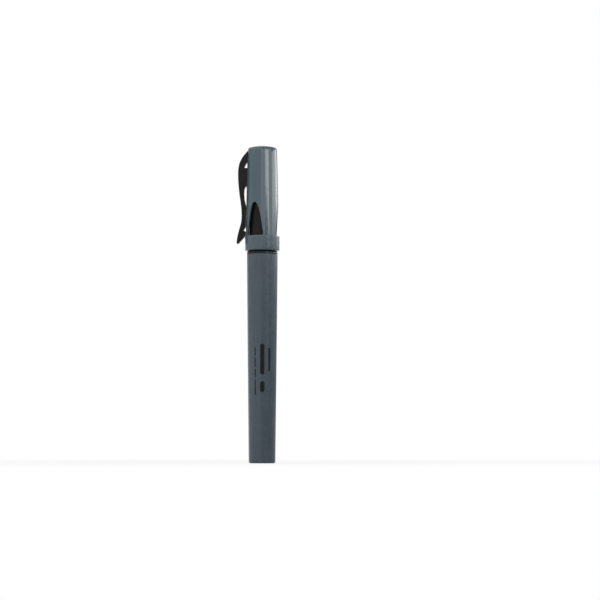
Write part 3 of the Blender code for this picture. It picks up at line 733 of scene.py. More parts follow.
@dataclass
class Barrel:
    """Tapered cup that holds the ink, with its printed strokes. Sizes are in millimetres."""

    top_radius: float = 6.55
    end_radius: float = 5.65
    taper_power: float = 1.1
    wall: float = 1.0
    floor: float = 1.4
    end_fillet: float = 0.9
    rim_chamfer: float = 0.2
    gate_radius: float = 0.7
    ink_cover: float = 0.8
    strokes: tuple[tuple[float, float, float, float], ...] = (
        (-25.0, 0.50, 28.9, 35.2),
        (-25.0, 0.50, 36.4, 39.6),
        (-25.0, 0.50, 40.8, 44.4),
        (-25.0, 0.50, 45.6, 48.7),
        (4.0, 1.80, 38.3, 49.5),
        (4.0, 1.90, 30.9, 33.6),
        (33.0, 0.95, 39.2, 48.2),
    )
    length: float = field(default_factory=lambda: height_of("barrel"))

    def radius(self, height: float) -> float:
        """Return the outer radius at a height."""
        share = max(0.0, 1.0 - height / self.length)
        return self.top_radius - (self.top_radius - self.end_radius) * share ** self.taper_power

    def bore(self, height: float) -> float:
        """Return the inner radius at a height."""
        return self.radius(height) - self.wall

    def build(self) -> bpy.types.Object:
        """Turn the barrel."""
        foot = self.radius(0.0)
        profile = [(0.0, self.floor)] + wall(self.bore, self.floor, self.length, 12)
        profile += [(self.top_radius - self.rim_chamfer, self.length)]
        profile += wall(self.radius, self.length - self.rim_chamfer, self.end_fillet, 60)[:-1]
        profile += bend((self.radius(self.end_fillet), self.end_fillet), (foot, 0.0),
                        (foot - self.end_fillet, 0.0), 10)
        profile += [(0.5 * foot, 0.0), (0.0, 0.0)]
        return turned("barrel_tube", profile)

    def stroke(self, coat: Coat, angle: float, width: float, low: float, high: float) -> Signal:
        """Mask one printed stroke with round ends.

        Args:
            coat: The barrel's coat.
            angle: Degrees round the barrel, from the side that faces the camera.
            width: Width in millimetres.
            low: Height of its lower end's centre.
            high: Height of its upper end's centre.

        Returns:
            1 in the stroke and 0 beside it.
        """
        x, y, z = coat.sketch.axes(coat.spot)
        across = (x.turn_to(-y) - math.radians(angle)) * self.radius((low + high) / 2)
        along = (abs(z - (low + high) / 2) - (high - low) / 2).at_least(0.0)
        distance = (across * across + along * along) ** 0.5
        return 1.0 - distance.rise(width / 2 - 0.04, width / 2 + 0.04)

    def dress(self, piece: bpy.types.Object) -> None:
        """Finish the barrel and print its strokes."""
        coat = SLATE_BARREL.coat()
        worn = coat.sketch.noise(coat.spot, 0.35, 3.0).rise(0.36, 0.46)
        printed: Value = 0.0
        for stroke in self.strokes:
            printed = self.stroke(coat, *stroke) + printed
        printed = printed * (0.84 + 0.16 * worn)
        coat.tint(printed, PRINT_INK)
        coat.dull(printed * 0.12)
        coat.raise_by(printed * 0.004)
        _, _, height = coat.sketch.axes(coat.spot)
        coat.gate_mark(self.gate_radius, 1.0 - height.rise(0.2, 0.5))
        cover(piece, coat.fix(IOR=1.48, Metallic=printed * self.ink_cover))
        seat(piece, Body.MARKER, Slot.SLATE, "barrel")


@dataclass
class FrontSection:
    """Black moulding with the plug in the barrel, the flange, the grip's core and the stepped nose."""

    barrel: Barrel
    plug_depth: float = 10.0
    plug_gap: float = 0.05
    plug_wall: float = 0.85
    flange_proud: float = 0.02
    flange_slope: float = 0.5
    flange_chamfer: float = 0.5
    bulkhead: float = 2.4
    core_radius: float = 4.5
    base_radius: float = 4.85
    rim_height: float = 0.35
    rim_groove: float = 0.03
    rim_round: float = 0.06
    flange_round: float = 0.05
    flange_soft: float = 0.04
    plug_lead: float = 0.6
    shoulder_radius: float = 4.46
    taper_length: float = 5.0
    flare_length: float = 3.9
    flare_depth: float = 1.95
    neck_radius: float = 2.9
    edge: float = 0.25
    holder_bore: float = 2.0
    nib_bore: float = 1.25
    holder_depth: float = 12.2
    nose_base: float = field(default_factory=lambda: height_of("grip_sleeve") + SEAT_GAP)
    nose_front: float = field(default_factory=lambda: height_of("front_section"))
    shoulder: float = field(default_factory=lambda: height_of("grip_sleeve", top=False) - SEAT_GAP)

    def nose_radius(self, height: float) -> float:
        """Return the radius of the nose between its base and its shoulder."""
        share = (height - self.nose_base) / self.taper_length
        return self.base_radius - (self.base_radius - self.shoulder_radius) * share

    def build(self) -> bpy.types.Object:
        """Turn the section."""
        barrel_top = self.barrel.length
        flange_foot = barrel_top + SEAT_GAP
        flange = self.barrel.top_radius + self.flange_proud
        flange_top = flange - self.flange_slope
        plug_foot = barrel_top - self.plug_depth
        nose_shoulder = self.nose_base + self.taper_length
        nose_neck = nose_shoulder + self.flare_length
        plug_bore = self.barrel.bore(plug_foot) - self.plug_gap - self.plug_wall
        stop = self.nose_front - self.holder_depth
        rim_top = self.nose_base + self.rim_height
        profile = [(self.holder_bore, self.nose_front), (self.neck_radius - self.edge, self.nose_front)]
        profile += bend((self.neck_radius - self.edge, self.nose_front),
                        (self.neck_radius, self.nose_front),
                        (self.neck_radius, self.nose_front - self.edge), 5)[1:]
        profile += bend((self.neck_radius, nose_neck),
                        (self.shoulder_radius - self.edge / 4, nose_neck - self.flare_depth),
                        (self.shoulder_radius, nose_shoulder), 16)
        profile += wall(self.nose_radius, nose_shoulder - 0.2, rim_top + 0.3, 10)
        profile += [
            (self.nose_radius(rim_top) - self.rim_groove, rim_top + 2 * self.rim_round),
            (self.nose_radius(rim_top), rim_top),
            (self.base_radius, self.nose_base + self.rim_round),
            (self.base_radius - self.rim_round, self.nose_base),
            (self.core_radius, self.nose_base),
            (self.core_radius, self.shoulder),
            (flange_top - self.rim_round, self.shoulder),
            (flange_top + self.flange_soft, self.shoulder - self.flange_round),
            (flange - self.flange_soft, self.shoulder - self.flange_chamfer + self.flange_round),
            (flange, self.shoulder - self.flange_chamfer - self.flange_round),
            (flange, flange_foot + self.flange_round),
            (flange - self.flange_round, flange_foot),
            (self.barrel.bore(barrel_top) - self.plug_gap, flange_foot),
            (self.barrel.bore(plug_foot) - self.plug_gap, plug_foot + self.plug_lead),
            (self.barrel.bore(plug_foot) - self.plug_gap - self.plug_lead / 2, plug_foot),
            (plug_bore, plug_foot),
            (plug_bore, self.shoulder - self.bulkhead),
            (self.nib_bore, self.shoulder - self.bulkhead),
            (self.nib_bore, stop),
            (self.holder_bore, stop),
        ]
        return turned("section_moulding", profile, closed=True)

    def dress(self, piece: bpy.types.Object) -> None:
        """Finish the section in satin black, with faint rings left by the mould."""
        coat = SECTION_BLACK.coat()
        rings = coat.sketch.noise(coat.spot, 0.35, 2.0, (40.0, 40.0, 1.0))
        coat.raise_by(rings * 0.003)
        coat.dull((rings - 0.5) * 0.10)
        cover(piece, coat.fix(IOR=1.47, Specular_IOR_Level=0.18))
        seat(piece, Body.MARKER, Slot.BLACK, "front_section")


@dataclass
class GripSleeve:
    """Soft sleeve with a lens-shaped patch of fine ribs on its outer side, which faces +X."""

    section: FrontSection
    top_radius: float = 5.22
    foot_radius: float = 5.74
    swell_power: float = 1.6
    chamfer_height: float = 0.8
    chamfer_depth: float = 0.25
    fit: float = 0.05
    pad_start: float = 4.7
    rib_count: int = 10
    rib_pitch: float = 0.82
    rib_height: float = 0.26
    pad_half_angle: float = 62.0
    facets: int = 288

    def radius(self, height: float) -> float:
        """Return the outer radius at a height, without ribs."""
        top = self.section.nose_base - self.chamfer_height
        share = max(0.0, (top - height) / (top - self.section.shoulder))
        return self.top_radius + (self.foot_radius - self.top_radius) * share ** self.swell_power

    def lift(self, angle: float, height: float) -> float:
        """Return how far the ribs stand out.

        Args:
            angle: Degrees from +X.
            height: Height along the pen.

        Returns:
            The lift in millimetres.
        """
        place = (height - self.section.shoulder - SEAT_GAP - self.pad_start) / self.rib_pitch
        along = 2.0 * place / self.rib_count - 1.0
        if abs(along) >= 1.0:
            return 0.0
        turn = abs(angle) / (self.pad_half_angle * math.sqrt(1.0 - along ** 2))
        if turn >= 1.0:
            return 0.0
        wave = (0.5 - 0.5 * math.cos(math.tau * place)) ** 0.8
        return self.rib_height * wave * min(1.0, 1.6 * math.sqrt(1.0 - turn ** 2))

    def build(self) -> bpy.types.Object:
        """Turn the sleeve and raise its ribs."""
        foot = self.section.shoulder + SEAT_GAP
        top = self.section.nose_base - SEAT_GAP
        chamfer = self.section.nose_base - self.chamfer_height
        inner = self.section.core_radius + self.fit
        pad_foot = foot + self.pad_start
        pad_top = pad_foot + self.rib_count * self.rib_pitch
        profile = [(inner, foot), (inner, top)]
        profile += bend((self.top_radius - self.chamfer_depth - 0.08, top),
                        (self.top_radius - 0.02, top - 0.05),
                        (self.top_radius, chamfer), 8)
        profile += wall(self.radius, chamfer, pad_top, 14)[1:-1]
        profile += wall(self.radius, pad_top, pad_foot, 8 * self.rib_count)[:-1]
        profile += wall(self.radius, pad_foot, foot + 0.10, 8)
        profile += [(self.radius(foot) - 0.08, foot)]
        shape = Shape()
        shape.turn(profile, self.facets, closed=True)
        for index, (x, y, z) in enumerate(shape.points):
            radius = math.hypot(x, y)
            if radius > inner + self.fit:
                stretch = 1.0 + self.lift(math.degrees(math.atan2(y, x)), z) / radius
                shape.points[index] = (x * stretch, y * stretch, z)
        return shape.piece("grip_ribbed", sharp=60.0)

    def dress(self, piece: bpy.types.Object) -> None:
        """Finish the sleeve in soft rubber."""
        cover(piece, GRIP_RUBBER.coat().fix(IOR=1.45, Specular_IOR_Level=0.16))
        seat(piece, Body.MARKER, Slot.RUBBER, "grip_sleeve")


@dataclass
class NibUnit:
    """Stepped holder with a domed end, and the fibre nib that stands in it."""

    section: FrontSection
    holder_radius: float = 2.36
    step_height: float = 1.7
    shank_radius: float = 1.95
    shank_length: float = 12.0
    nib_radius: float = 1.2
    fit: float = 0.05
    tip_radius: float = 0.15
    cone_belly: float = 0.62
    front: float = field(default_factory=lambda: height_of("nib_holder"))
    tip: float = field(default_factory=lambda: height_of("fibre_nib"))
    foot: float = field(default_factory=lambda: height_of("fibre_nib", top=False))

    def build_holder(self) -> bpy.types.Object:
        """Turn the holder."""
        bore = self.nib_radius + self.fit
        collar_foot = self.section.nose_front + SEAT_GAP
        dome_foot = collar_foot + self.step_height
        shank_foot = self.section.nose_front - self.shank_length
        profile = [(bore, self.front)]
        profile += bend((bore + 0.1, self.front), (self.holder_radius - 0.1, self.front - 0.1),
                        (self.holder_radius, dome_foot), 14)
        profile += [
            (self.holder_radius, collar_foot + 0.12),
            (self.holder_radius - 0.12, collar_foot),
            (self.shank_radius, collar_foot),
            (self.shank_radius, shank_foot),
            (bore, shank_foot),
        ]
        return turned("nib_holder_tube", profile, closed=True)

    def build_nib(self) -> bpy.types.Object:
        """Turn the nib, with a ground cone and a rounded tip."""
        profile = [(0.0, self.tip)]
        profile += bend((0.05, self.tip), (self.tip_radius, self.tip),
                        (self.tip_radius, self.tip - self.tip_radius / 2), 5)[1:]
        profile += bend((self.tip_radius, self.tip - self.tip_radius / 2),
                        (self.nib_radius * self.cone_belly, (self.tip + self.front) / 2),
                        (self.nib_radius, self.front + self.fit), 18)[1:]
        profile += wall(lambda height: self.nib_radius, self.front - 0.2, self.foot, 8) + [(0.0, self.foot)]
        return turned("nib_fibre", profile, FACETS // 2)

    def dress_holder(self, piece: bpy.types.Object) -> None:
        """Finish the holder in the section's black, stained round the nib."""
        coat = HOLDER_BLACK.coat()
        _, _, height = coat.sketch.axes(coat.spot)
        blotch = coat.sketch.noise(coat.spot, 0.5, 3.0).rise(0.4, 0.6)
        stain = height.rise(self.front - 1.0, self.front) * blotch
        coat.tint(stain * 0.6, PRINT_INK)
        coat.dull(stain * 0.15)
        cover(piece, coat.fix(IOR=1.47, Specular_IOR_Level=0.24))
        seat(piece, Body.MARKER, Slot.BLACK, "nib_holder")

    def dress_nib(self, piece: bpy.types.Object) -> None:
        """Finish the nib in inked fibre."""
        cover(piece, NIB_FIBRE.coat().fix())
        seat(piece, Body.MARKER, Slot.NIB, "fibre_nib")


class InkSupply:
    """The fibre rod and its film inside the barrel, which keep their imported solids."""

    def dress(self) -> None:
        """Finish both solids."""
        rod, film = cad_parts["ink_reservoir"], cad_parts["reservoir_film"]
        cover(rod, RESERVOIR_FIBRE.coat().fix())
        cover(film, FILM.coat().fix(Alpha=FILM.veil, IOR=1.5))


@dataclass(frozen=True)
class Column:
    """One upright line of the cap's wall.

    Attributes:
        window: Number of the window at or before it.
        side: Distance from that window's middle, in millimetres.
        share: Share of the way to the next window, or None within the window's width.
    """

    window: int
    side: float
    share: float | None = None


@dataclass
class CapShell:
    """Cap with a domed crown, a collar at the mouth and three arched windows with softened edges."""

    top_radius: float = 6.2
    foot_radius: float = 7.06
    swell_power: float = 0.65
    wall: float = 1.0
    crown_dome: float = 0.75
    crown_fillet: float = 0.9
    collar_radius: float = 7.34
    collar_height: float = 6.1
    collar_step: float = 0.28
    gate_radius: float = 0.8
    mouth_fillet: float = 0.6
    mouth_lead: float = 0.25
    windows: tuple[float, ...] = (0.0, 116.0, 244.0)
    window_sill: float = 0.2
    window_height: float = 14.1
    window_half_width: float = 3.74
    arch_power: float = 0.42
    window_corner: float = 0.5
    outer_edge: float = 0.14
    inner_edge: float = 0.10
    edge_steps: int = 4
    sill_steps: int = 10
    side_steps: int = 20
    column_turn: float = 3.4
    wall_rows: int = 34
    ceiling: float = field(default_factory=lambda: height_of("cap_seal") + 0.2)
    mouth: float = field(default_factory=lambda: height_of("cap_shell", top=False))
    top: float = field(default_factory=lambda: height_of("cap_shell"))

    def __post_init__(self) -> None:
        """Work out the heights that follow from the sizes."""
        self.edge = self.top - self.crown_dome - self.crown_fillet
        self.collar_top = self.mouth + self.collar_height
        self.sill = self.collar_top + self.window_sill

    def radius(self, height: float) -> float:
        """Return the outer radius above the collar."""
        share = max(0.0, (self.edge - height) / (self.edge - self.collar_top))
        return self.top_radius + (self.foot_radius - self.top_radius) * share ** self.swell_power

    def bore(self, height: float) -> float:
        """Return the inner radius, which is straight inside the collar."""
        return self.radius(max(height, self.collar_top)) - self.wall

    def outline(self) -> tuple[list[Point], int]:
        """Draw a window's outline from its lower left side, along the sill and back over the arch.

        Returns:
            Points of (side, height) in one loop, and how many of them belong to the sill's half.
        """
        half, corner, sill = self.window_half_width, self.window_corner, self.sill
        left = bend((-half, sill + corner), (-half, sill), (-half + corner, sill), 6)
        steps = self.sill_steps
        flat = [((corner - half) * (1 - 2 * step / steps), sill) for step in range(1, steps)]
        lower = left + flat + [(-side, height) for side, height in reversed(left)]
        upper = []
        for step in range(self.side_steps - 1, -self.side_steps, -1):
            side = half * math.sin(math.pi / 2 * step / self.side_steps)
            drop = (abs(side) / half) ** (1.0 / self.arch_power) * (self.window_height - corner)
            upper.append((side, sill + self.window_height - drop))
        return lower + upper, len(lower)

    @staticmethod
    def swell(loop: Sequence[Point], distance: float) -> list[Point]:
        """Move a loop outward, into the wall, by a distance."""
        moved = []
        for index, (side, height) in enumerate(loop):
            before, after = loop[index - 1], loop[(index + 1) % len(loop)]
            along = Vector((after[0] - before[0], after[1] - before[1])).normalized()
            moved.append((side + along.y * distance, height - along.x * distance))
        return moved

    def spot(
        self, window: int, side: float, height: float, depth: float, inner: bool
    ) -> tuple[float, float, float]:
        """Place a point on a window's edge.

        Args:
            window: Number of the window.
            side: Distance from the window's middle.
            height: Height along the pen.
            depth: Distance into the wall, from its inner or outer face.
            inner: Whether the depth counts from the inner face.

        Returns:
            The point in millimetres.
        """
        if inner:
            reach = math.sqrt(self.bore(height) ** 2 - side ** 2) + depth
        else:
            reach = math.sqrt(self.radius(height) ** 2 - side ** 2) - depth
        turn = math.radians(self.windows[window])
        return (
            reach * math.cos(turn) - side * math.sin(turn),
            reach * math.sin(turn) + side * math.cos(turn),
            height,
        )

    def angle(self, column: Column, radius: float, half: float) -> float:
        """Return a column's angle in radians at a radius, for windows of a half width."""
        start = math.radians(self.windows[column.window])
        if column.share is None:
            return start + math.asin(column.side / radius)
        after = self.windows[(column.window + 1) % len(self.windows)]
        span = math.radians((after - self.windows[column.window]) % 360.0)
        turn = math.asin(half / radius)
        return start + turn + (span - 2 * turn) * column.share

    def columns(self, sides: Sequence[float]) -> list[Column]:
        """List the columns round the cap, given those across one window."""
        result = []
        for window, start in enumerate(self.windows):
            after = self.windows[(window + 1) % len(self.windows)]
            count = round(((after - start) % 360.0) / self.column_turn)
            result += [Column(window, side) for side in sides]
            result += [Column(window, 0.0, step / count) for step in range(1, count)]
        return result

    def face(
        self,
        shape: Shape,
        rims: Sequence[Sequence[int]],
        loop: Sequence[Point],
        low_count: int,
        inner: bool,
    ) -> tuple[list[int], list[int]]:
        """Make the outer or the inner face of the wall between its collar and its top.

        Args:
            shape: The cap's shape.
            rims: Point numbers of each window's edge on this face.
            loop: The window's outline on this face.
            low_count: How many of the loop's points belong to the sill's half.
            inner: Whether this is the inner face.

        Returns:
            Point numbers of the face's lowest and highest row.
        """
        radius_at = self.bore if inner else self.radius
        half = abs(loop[0][0])
        split = loop[0][1]
        lower, upper = loop[:low_count], [loop[0], *reversed(loop[low_count:]), loop[low_count - 1]]

        def row(columns: Sequence[Column], heights: Sequence[float]) -> list[int]:
            """Add one row of points, each at its own height."""
            made = []
            for column, height in zip(columns, heights):
                radius = radius_at(height)
                turn = self.angle(column, radius, half)
                made.append(shape.add(radius * math.cos(turn), radius * math.sin(turn), height))
            return made

        low_columns = self.columns([side for side, _ in lower])
        high_columns = self.columns([side for side, _ in upper])
        walled = [column for column in low_columns if column.share is not None]
        numbers = row(walled, [split] * len(walled))
        solid = {(column.window, column.share): number for column, number in zip(walled, numbers)}

        def border(columns: Sequence[Column], order: Callable[[Sequence[int]], Sequence[int]]) -> list[int]:
            """Gather the row along the windows' edges and the solid wall between them."""
            made: list[int] = []
            for window in range(len(self.windows)):
                made += order(rims[window])
                between = (column for column in columns if column.window == window)
                made += [solid[(window, c.share)] for c in between if c.share is not None]
            return made

        low_border = border(low_columns, lambda rim: list(rim[:low_count]))
        high_border = border(
            high_columns, lambda rim: [rim[0], *reversed(rim[low_count:]), rim[low_count - 1]]
        )
        foot = row(low_columns, [self.collar_top] * len(low_columns))
        shape.bridge(foot, low_border)
        end = self.ceiling if inner else self.edge
        starts = [shape.points[number][2] for number in high_border]
        rows = [high_border]
        for step in range(1, self.wall_rows + 1):
            share = 1.0 - (1.0 - step / self.wall_rows) ** 1.5
            rows.append(row(high_columns, [start + (end - start) * share for start in starts]))
            shape.bridge(rows[-2], rows[-1])
        return foot, rows[-1]

    def follow(self, shape: Shape, row: Sequence[int], profile: Sequence[Point]) -> list[int]:
        """Carry a row on along a turned profile, and return its last row."""
        for radius, height in profile:
            turns = [math.atan2(shape.points[number][1], shape.points[number][0]) for number in row]
            after = [shape.add(radius * math.cos(turn), radius * math.sin(turn), height) for turn in turns]
            shape.bridge(row, after)
            row = after
        return list(row)

    def build(self) -> bpy.types.Object:
        """Build the cap as one closed surface."""
        shape = Shape()
        loop, low_count = self.outline()
        quarter = [math.pi / 2 * step / self.edge_steps for step in range(self.edge_steps + 1)]
        levels = [(self.outer_edge * (1 - math.sin(turn)), self.outer_edge * (1 - math.cos(turn)), False)
                  for turn in quarter]
        levels += [(self.inner_edge * (1 - math.cos(turn)), self.inner_edge * (1 - math.sin(turn)), True)
                   for turn in quarter]
        outer_rims, inner_rims = [], []
        for window in range(len(self.windows)):
            rims = [
                [shape.add(*self.spot(window, side, height, depth, inner))
                 for side, height in self.swell(loop, distance)]
                for distance, depth, inner in levels
            ]
            for first, second in zip(rims, rims[1:]):
                shape.bridge(first, second)
            outer_rims.append(rims[0])
            inner_rims.append(rims[-1])
        outer_loop, inner_loop = (self.swell(loop, size) for size in (self.outer_edge, self.inner_edge))
        foot, edge = self.face(shape, outer_rims, outer_loop, low_count, inner=False)
        bore_foot, ceiling = self.face(shape, inner_rims, inner_loop, low_count, inner=True)
        crown_edge = self.top - self.crown_dome
        rim = self.top_radius - self.crown_fillet
        corner = crown_edge - 2 * self.crown_dome / rim * self.crown_fillet
        crown = bend((self.top_radius, self.edge), (self.top_radius, corner), (rim, crown_edge), 14)[1:]
        crown += bend(crown[-1], (rim / 2, self.top), (0.0, self.top), 12)[1:-1]
        shape.fan(self.follow(shape, edge, crown), shape.add(0.0, 0.0, self.top))
        shape.fan(self.follow(shape, ceiling, [(0.6 * self.bore(self.ceiling), self.ceiling)]),
                  shape.add(0.0, 0.0, self.ceiling))
        collar, fillet = self.collar_radius, self.mouth_fillet
        mouth = [(collar - 0.05, self.collar_top - 0.06), (collar, self.collar_top - self.collar_step)]
        mouth += wall(lambda height: collar, self.collar_top - 0.5, self.mouth + fillet, 4)
        mouth += bend((collar, self.mouth + fillet), (collar, self.mouth),
                      (collar - fillet, self.mouth), 8)[1:]
        bore = self.bore(self.mouth)
        mouth += [(bore + self.mouth_lead, self.mouth), (bore, self.mouth + self.mouth_lead)]
        last = self.follow(shape, foot, mouth)
        shape.bridge(last, bore_foot)
        return shape.piece("cap_windowed", sharp=42.0)

    def dress(self, piece: bpy.types.Object) -> None:
        """Finish the cap in glossy slate, duller where it is pulled at the collar."""
        coat = SLATE_CAP.coat()
        _, _, height = coat.sketch.axes(coat.spot)
        pulled = 1.0 - height.rise(self.collar_top - 0.6, self.collar_top + 0.4)
        coat.dull(pulled * 0.12)
        coat.gate_mark(self.gate_radius, height.rise(self.top - 1.0, self.top - 0.6))
        cover(piece, coat.fix(IOR=1.5))
        seat(piece, Body.CAP, Slot.SLATE, "cap_shell")


@dataclass
class CapLiner:
    """Inner cup above the windows, whose thin lip closes on the nose."""

    cap: CapShell
    section: FrontSection
    wall: float = 0.55
    fit: float = 0.08
    crown: float = 0.6
    lip_length: float = 1.0
    lip_gap: float = 0.05
    top: float = field(default_factory=lambda: height_of("cap_seal"))
    foot: float = field(default_factory=lambda: height_of("cap_seal", top=False))

    def build(self) -> bpy.types.Object:
        """Turn the liner."""
        lip = self.section.nose_radius(self.foot) + self.lip_gap
        lip_top = self.foot + self.lip_length

        def outside(height: float) -> float:
            """Return the outer radius at a height."""
            return self.cap.bore(height) - self.fit

        def inside(height: float) -> float:
            """Return the inner radius at a height."""
            return outside(height) - self.wall

        profile = [(0.0, self.top), (outside(self.top) - self.wall, self.top)]
        profile += wall(outside, self.top - self.wall / 2, self.foot, 20)
        profile += [(lip, self.foot), (lip, lip_top)]
        profile += wall(inside, lip_top + self.wall, self.top - self.crown, 16)
        profile += [(0.0, self.top - self.crown)]
        return turned("cap_liner", profile)

    def dress(self, piece: bpy.types.Object) -> None:
        """Finish the liner, with a ring of ink where it meets the nose."""
        coat = LINER.coat()
        _, _, height = coat.sketch.axes(coat.spot)
        blotch = coat.sketch.noise(coat.spot, 0.8, 3.0)
        stain = (1.0 - height.rise(self.foot + 0.6, self.foot + 2.4)) * blotch
        coat.tint(stain * 0.5, PRINT_INK)
        cover(piece, coat.fix(IOR=1.5))
        seat(piece, Body.CAP, Slot.LINER, "cap_seal")


@dataclass
class Clip:
    """Sprung clip in one moulding: root, arch with its eye, boss, neck, blade and flared tail.

    Attributes:
        cap: The cap that it stands on.
        width: Its width.
        edge: Rounding of its long edges.
        crown: How far its outer face bulges.
        outer: How far the outer face lies from the cap's wall, at distances below the cap's top.
        inner: The same for the inner face. Below 0 it stands in the wall.
        tail_start: Where the rounding of the tail starts.
        tail_end: Where the tail ends.
        flex: Heights between which the blade starts to bend and follows the spring; not used.
        flex_reach: Distance of that stretch from the pen's axis; not used.
        row_pitch: Distance between the rows of points along it.
        tail_lean: How far the tail leans outward for each millimetre of its rounding.
    """

    cap: CapShell
    width: float = 3.6
    edge: float = 0.34
    crown: float = 0.10
    outer: tuple[Point, ...] = (
        (2.3, 0.10), (4.1, 1.55), (5.9, 2.66), (8.1, 3.46), (10.8, 3.80), (14.0, 3.72), (16.6, 3.50),
        (18.6, 3.28), (21.1, 2.95), (24.6, 2.38), (28.5, 1.96), (30.8, 1.90), (33.1, 2.12), (36.4, 3.00),
        (39.6, 3.66), (41.0, 3.80), (41.9, 3.76),
    )
    inner: tuple[Point, ...] = (
        (2.3, -0.45), (6.8, -0.45), (7.05, 0.10), (7.9, 0.60), (9.0, 1.10), (9.5, 1.00), (9.65, -0.45),
        (16.9, -0.45), (17.2, 0.10), (17.8, 0.62), (18.6, 0.90), (20.2, 0.99), (22.5, 0.85), (24.3, 0.45),
        (26.0, 0.09), (30.0, 0.09), (34.4, 0.09), (35.6, 0.62), (36.2, 0.90), (36.5, 0.62), (36.7, 0.09),
        (38.2, 0.09), (39.7, 1.15), (41.1, 2.40), (41.9, 3.20),
    )
    tail_start: float = 41.2
    tail_end: float = 41.88
    flex: tuple[float, float] = (118.0, 112.0)
    flex_reach: float = 9.5
    row_pitch: float = 0.30
    tail_lean: float = 0.45

    def section(self, shape: Shape, drop: float, low: float, high: float) -> list[int]:
        """Add one level cross-section of the clip.

        Args:
            shape: The clip's shape.
            drop: Distance below the cap's top.
            low: Reach of the inner face.
            high: Reach of the outer face.

        Returns:
            Its points' numbers, in order round the section.
        """
        height = self.cap.top - drop
        surface = self.cap.radius(height)
        half = self.width / 2
        corner = min(self.edge, 0.46 * (high - low))
        outline: list[Point] = []
        for sign, level in ((1, high), (-1, low)):
            turns = [math.pi / 2 * step / 5 for step in range(6)]
            arc = [(half - corner * (1 - math.cos(turn)), level - sign * corner * (1 - math.sin(turn)))
                   for turn in turns]
            if sign < 0:
                arc.reverse()
                side = [((half - corner) * (step / 4 - 1), level) for step in range(1, 8)]
                outline += [(-x, y) for x, y in reversed(arc)] + side + arc
            else:
                side = [((half - corner) * (1 - step / 4), level) for step in range(1, 8)]
                outline += arc + side + [(-x, y) for x, y in reversed(arc)]
        bulge = self.crown if high - low > 4 * self.crown else 0.0
        numbers = []
        for across, reach in outline:
            share = max(0.0, (reach - low) / (high - low))
            lifted = reach - bulge * share * (across / half) ** 2
            numbers.append(shape.add(-(surface + lifted), across, height))
        return numbers

    def build(self) -> bpy.types.Object:
        """Loft the clip from its root to its tail."""
        shape = Shape()
        outer, inner = Course(self.outer), Course(self.inner)
        rows_at_most = round((self.tail_end - self.outer[0][0]) / self.row_pitch)
        drops = sorted(
            {round(self.outer[0][0] + step * self.row_pitch, 3) for step in range(1, rows_at_most)}
            | {drop for drop, _ in self.inner}
            | {drop + 0.12 for drop, _ in self.inner[:8]}
        )
        drops = [drop for drop in drops if drop < self.tail_start]
        rows = [self.section(shape, drop, inner(drop), outer(drop)) for drop in drops]
        low, high = inner(self.tail_start), outer(self.tail_start)
        centre, thick = (low + high) / 2, (high - low) / 2
        for step in range(0, 9):
            turn = math.pi / 2 * step / 9.0
            drop = self.tail_start + (self.tail_end - self.tail_start) * math.sin(turn)
            lean = self.tail_lean * (drop - self.tail_start)
            size = thick * math.cos(turn)
            rows.append(self.section(shape, drop, centre + lean - size, centre + lean + size))
        for first, second in zip(rows, rows[1:]):
            shape.bridge(first, second)
        shape.faces += [tuple(rows[0]), tuple(rows[-1])]
        return shape.piece("clip_moulding", sharp=50.0)

    def dress(self, piece: bpy.types.Object) -> None:
        """Finish the clip, with the mould's parting line along its sides, and hide its imported solids."""
        coat = CLIP_BLACK.coat()
        _, across, _ = coat.sketch.axes(coat.spot)
        seam = 1.0 - abs(abs(across) - (self.width / 2 - self.edge)).rise(0.0, 0.05)
        coat.raise_by(seam * 0.003)
        cover(piece, coat.fix(IOR=1.46, Specular_IOR_Level=0.18))
        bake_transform(piece)
        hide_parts("clip_base", "clip_arm")


@dataclass
class SoftBox:
    """One flat studio lamp, which faces the pen.

    Attributes:
        name: The lamp's name.
        start: Degrees from the camera's direction to its left edge, as the pen sees it.
        end: Degrees to its right edge.
        distance: Metres from the pen's axis.
        foot: Height of its lower edge in metres.
        head: Height of its upper edge in metres.
        glow: Brightness of its face, where 1 is white.
    """

    name: str
    start: float
    end: float
    distance: float
    foot: float
    head: float
    glow: float

    def build(self, front: float) -> bpy.types.Object:
        """Hang the lamp.

        Args:
            front: Degrees from straight ahead to the camera's direction.

        Returns:
            The lamp.
        """
        lamp = bpy.data.lights.new(self.name, "AREA")
        lamp.shape = "RECTANGLE"
        width = 2 * self.distance * math.tan(math.radians(self.end - self.start) / 2)
        height = self.head - self.foot
        lamp.size, lamp.size_y = width, height
        lamp.energy = self.glow * math.pi * width * height
        made = bpy.data.objects.new(self.name, lamp)
        bpy.context.scene.collection.objects.link(made)
        turn = math.radians(front + (self.start + self.end) / 2)
        place = Vector((math.sin(turn), -math.cos(turn), 0.0)) * self.distance
        made.location = place + Vector((0.0, 0.0, self.foot + height / 2))
        made.rotation_euler = (-place).to_track_quat("-Z", "Y").to_euler()
        made.visible_camera = False
        return made


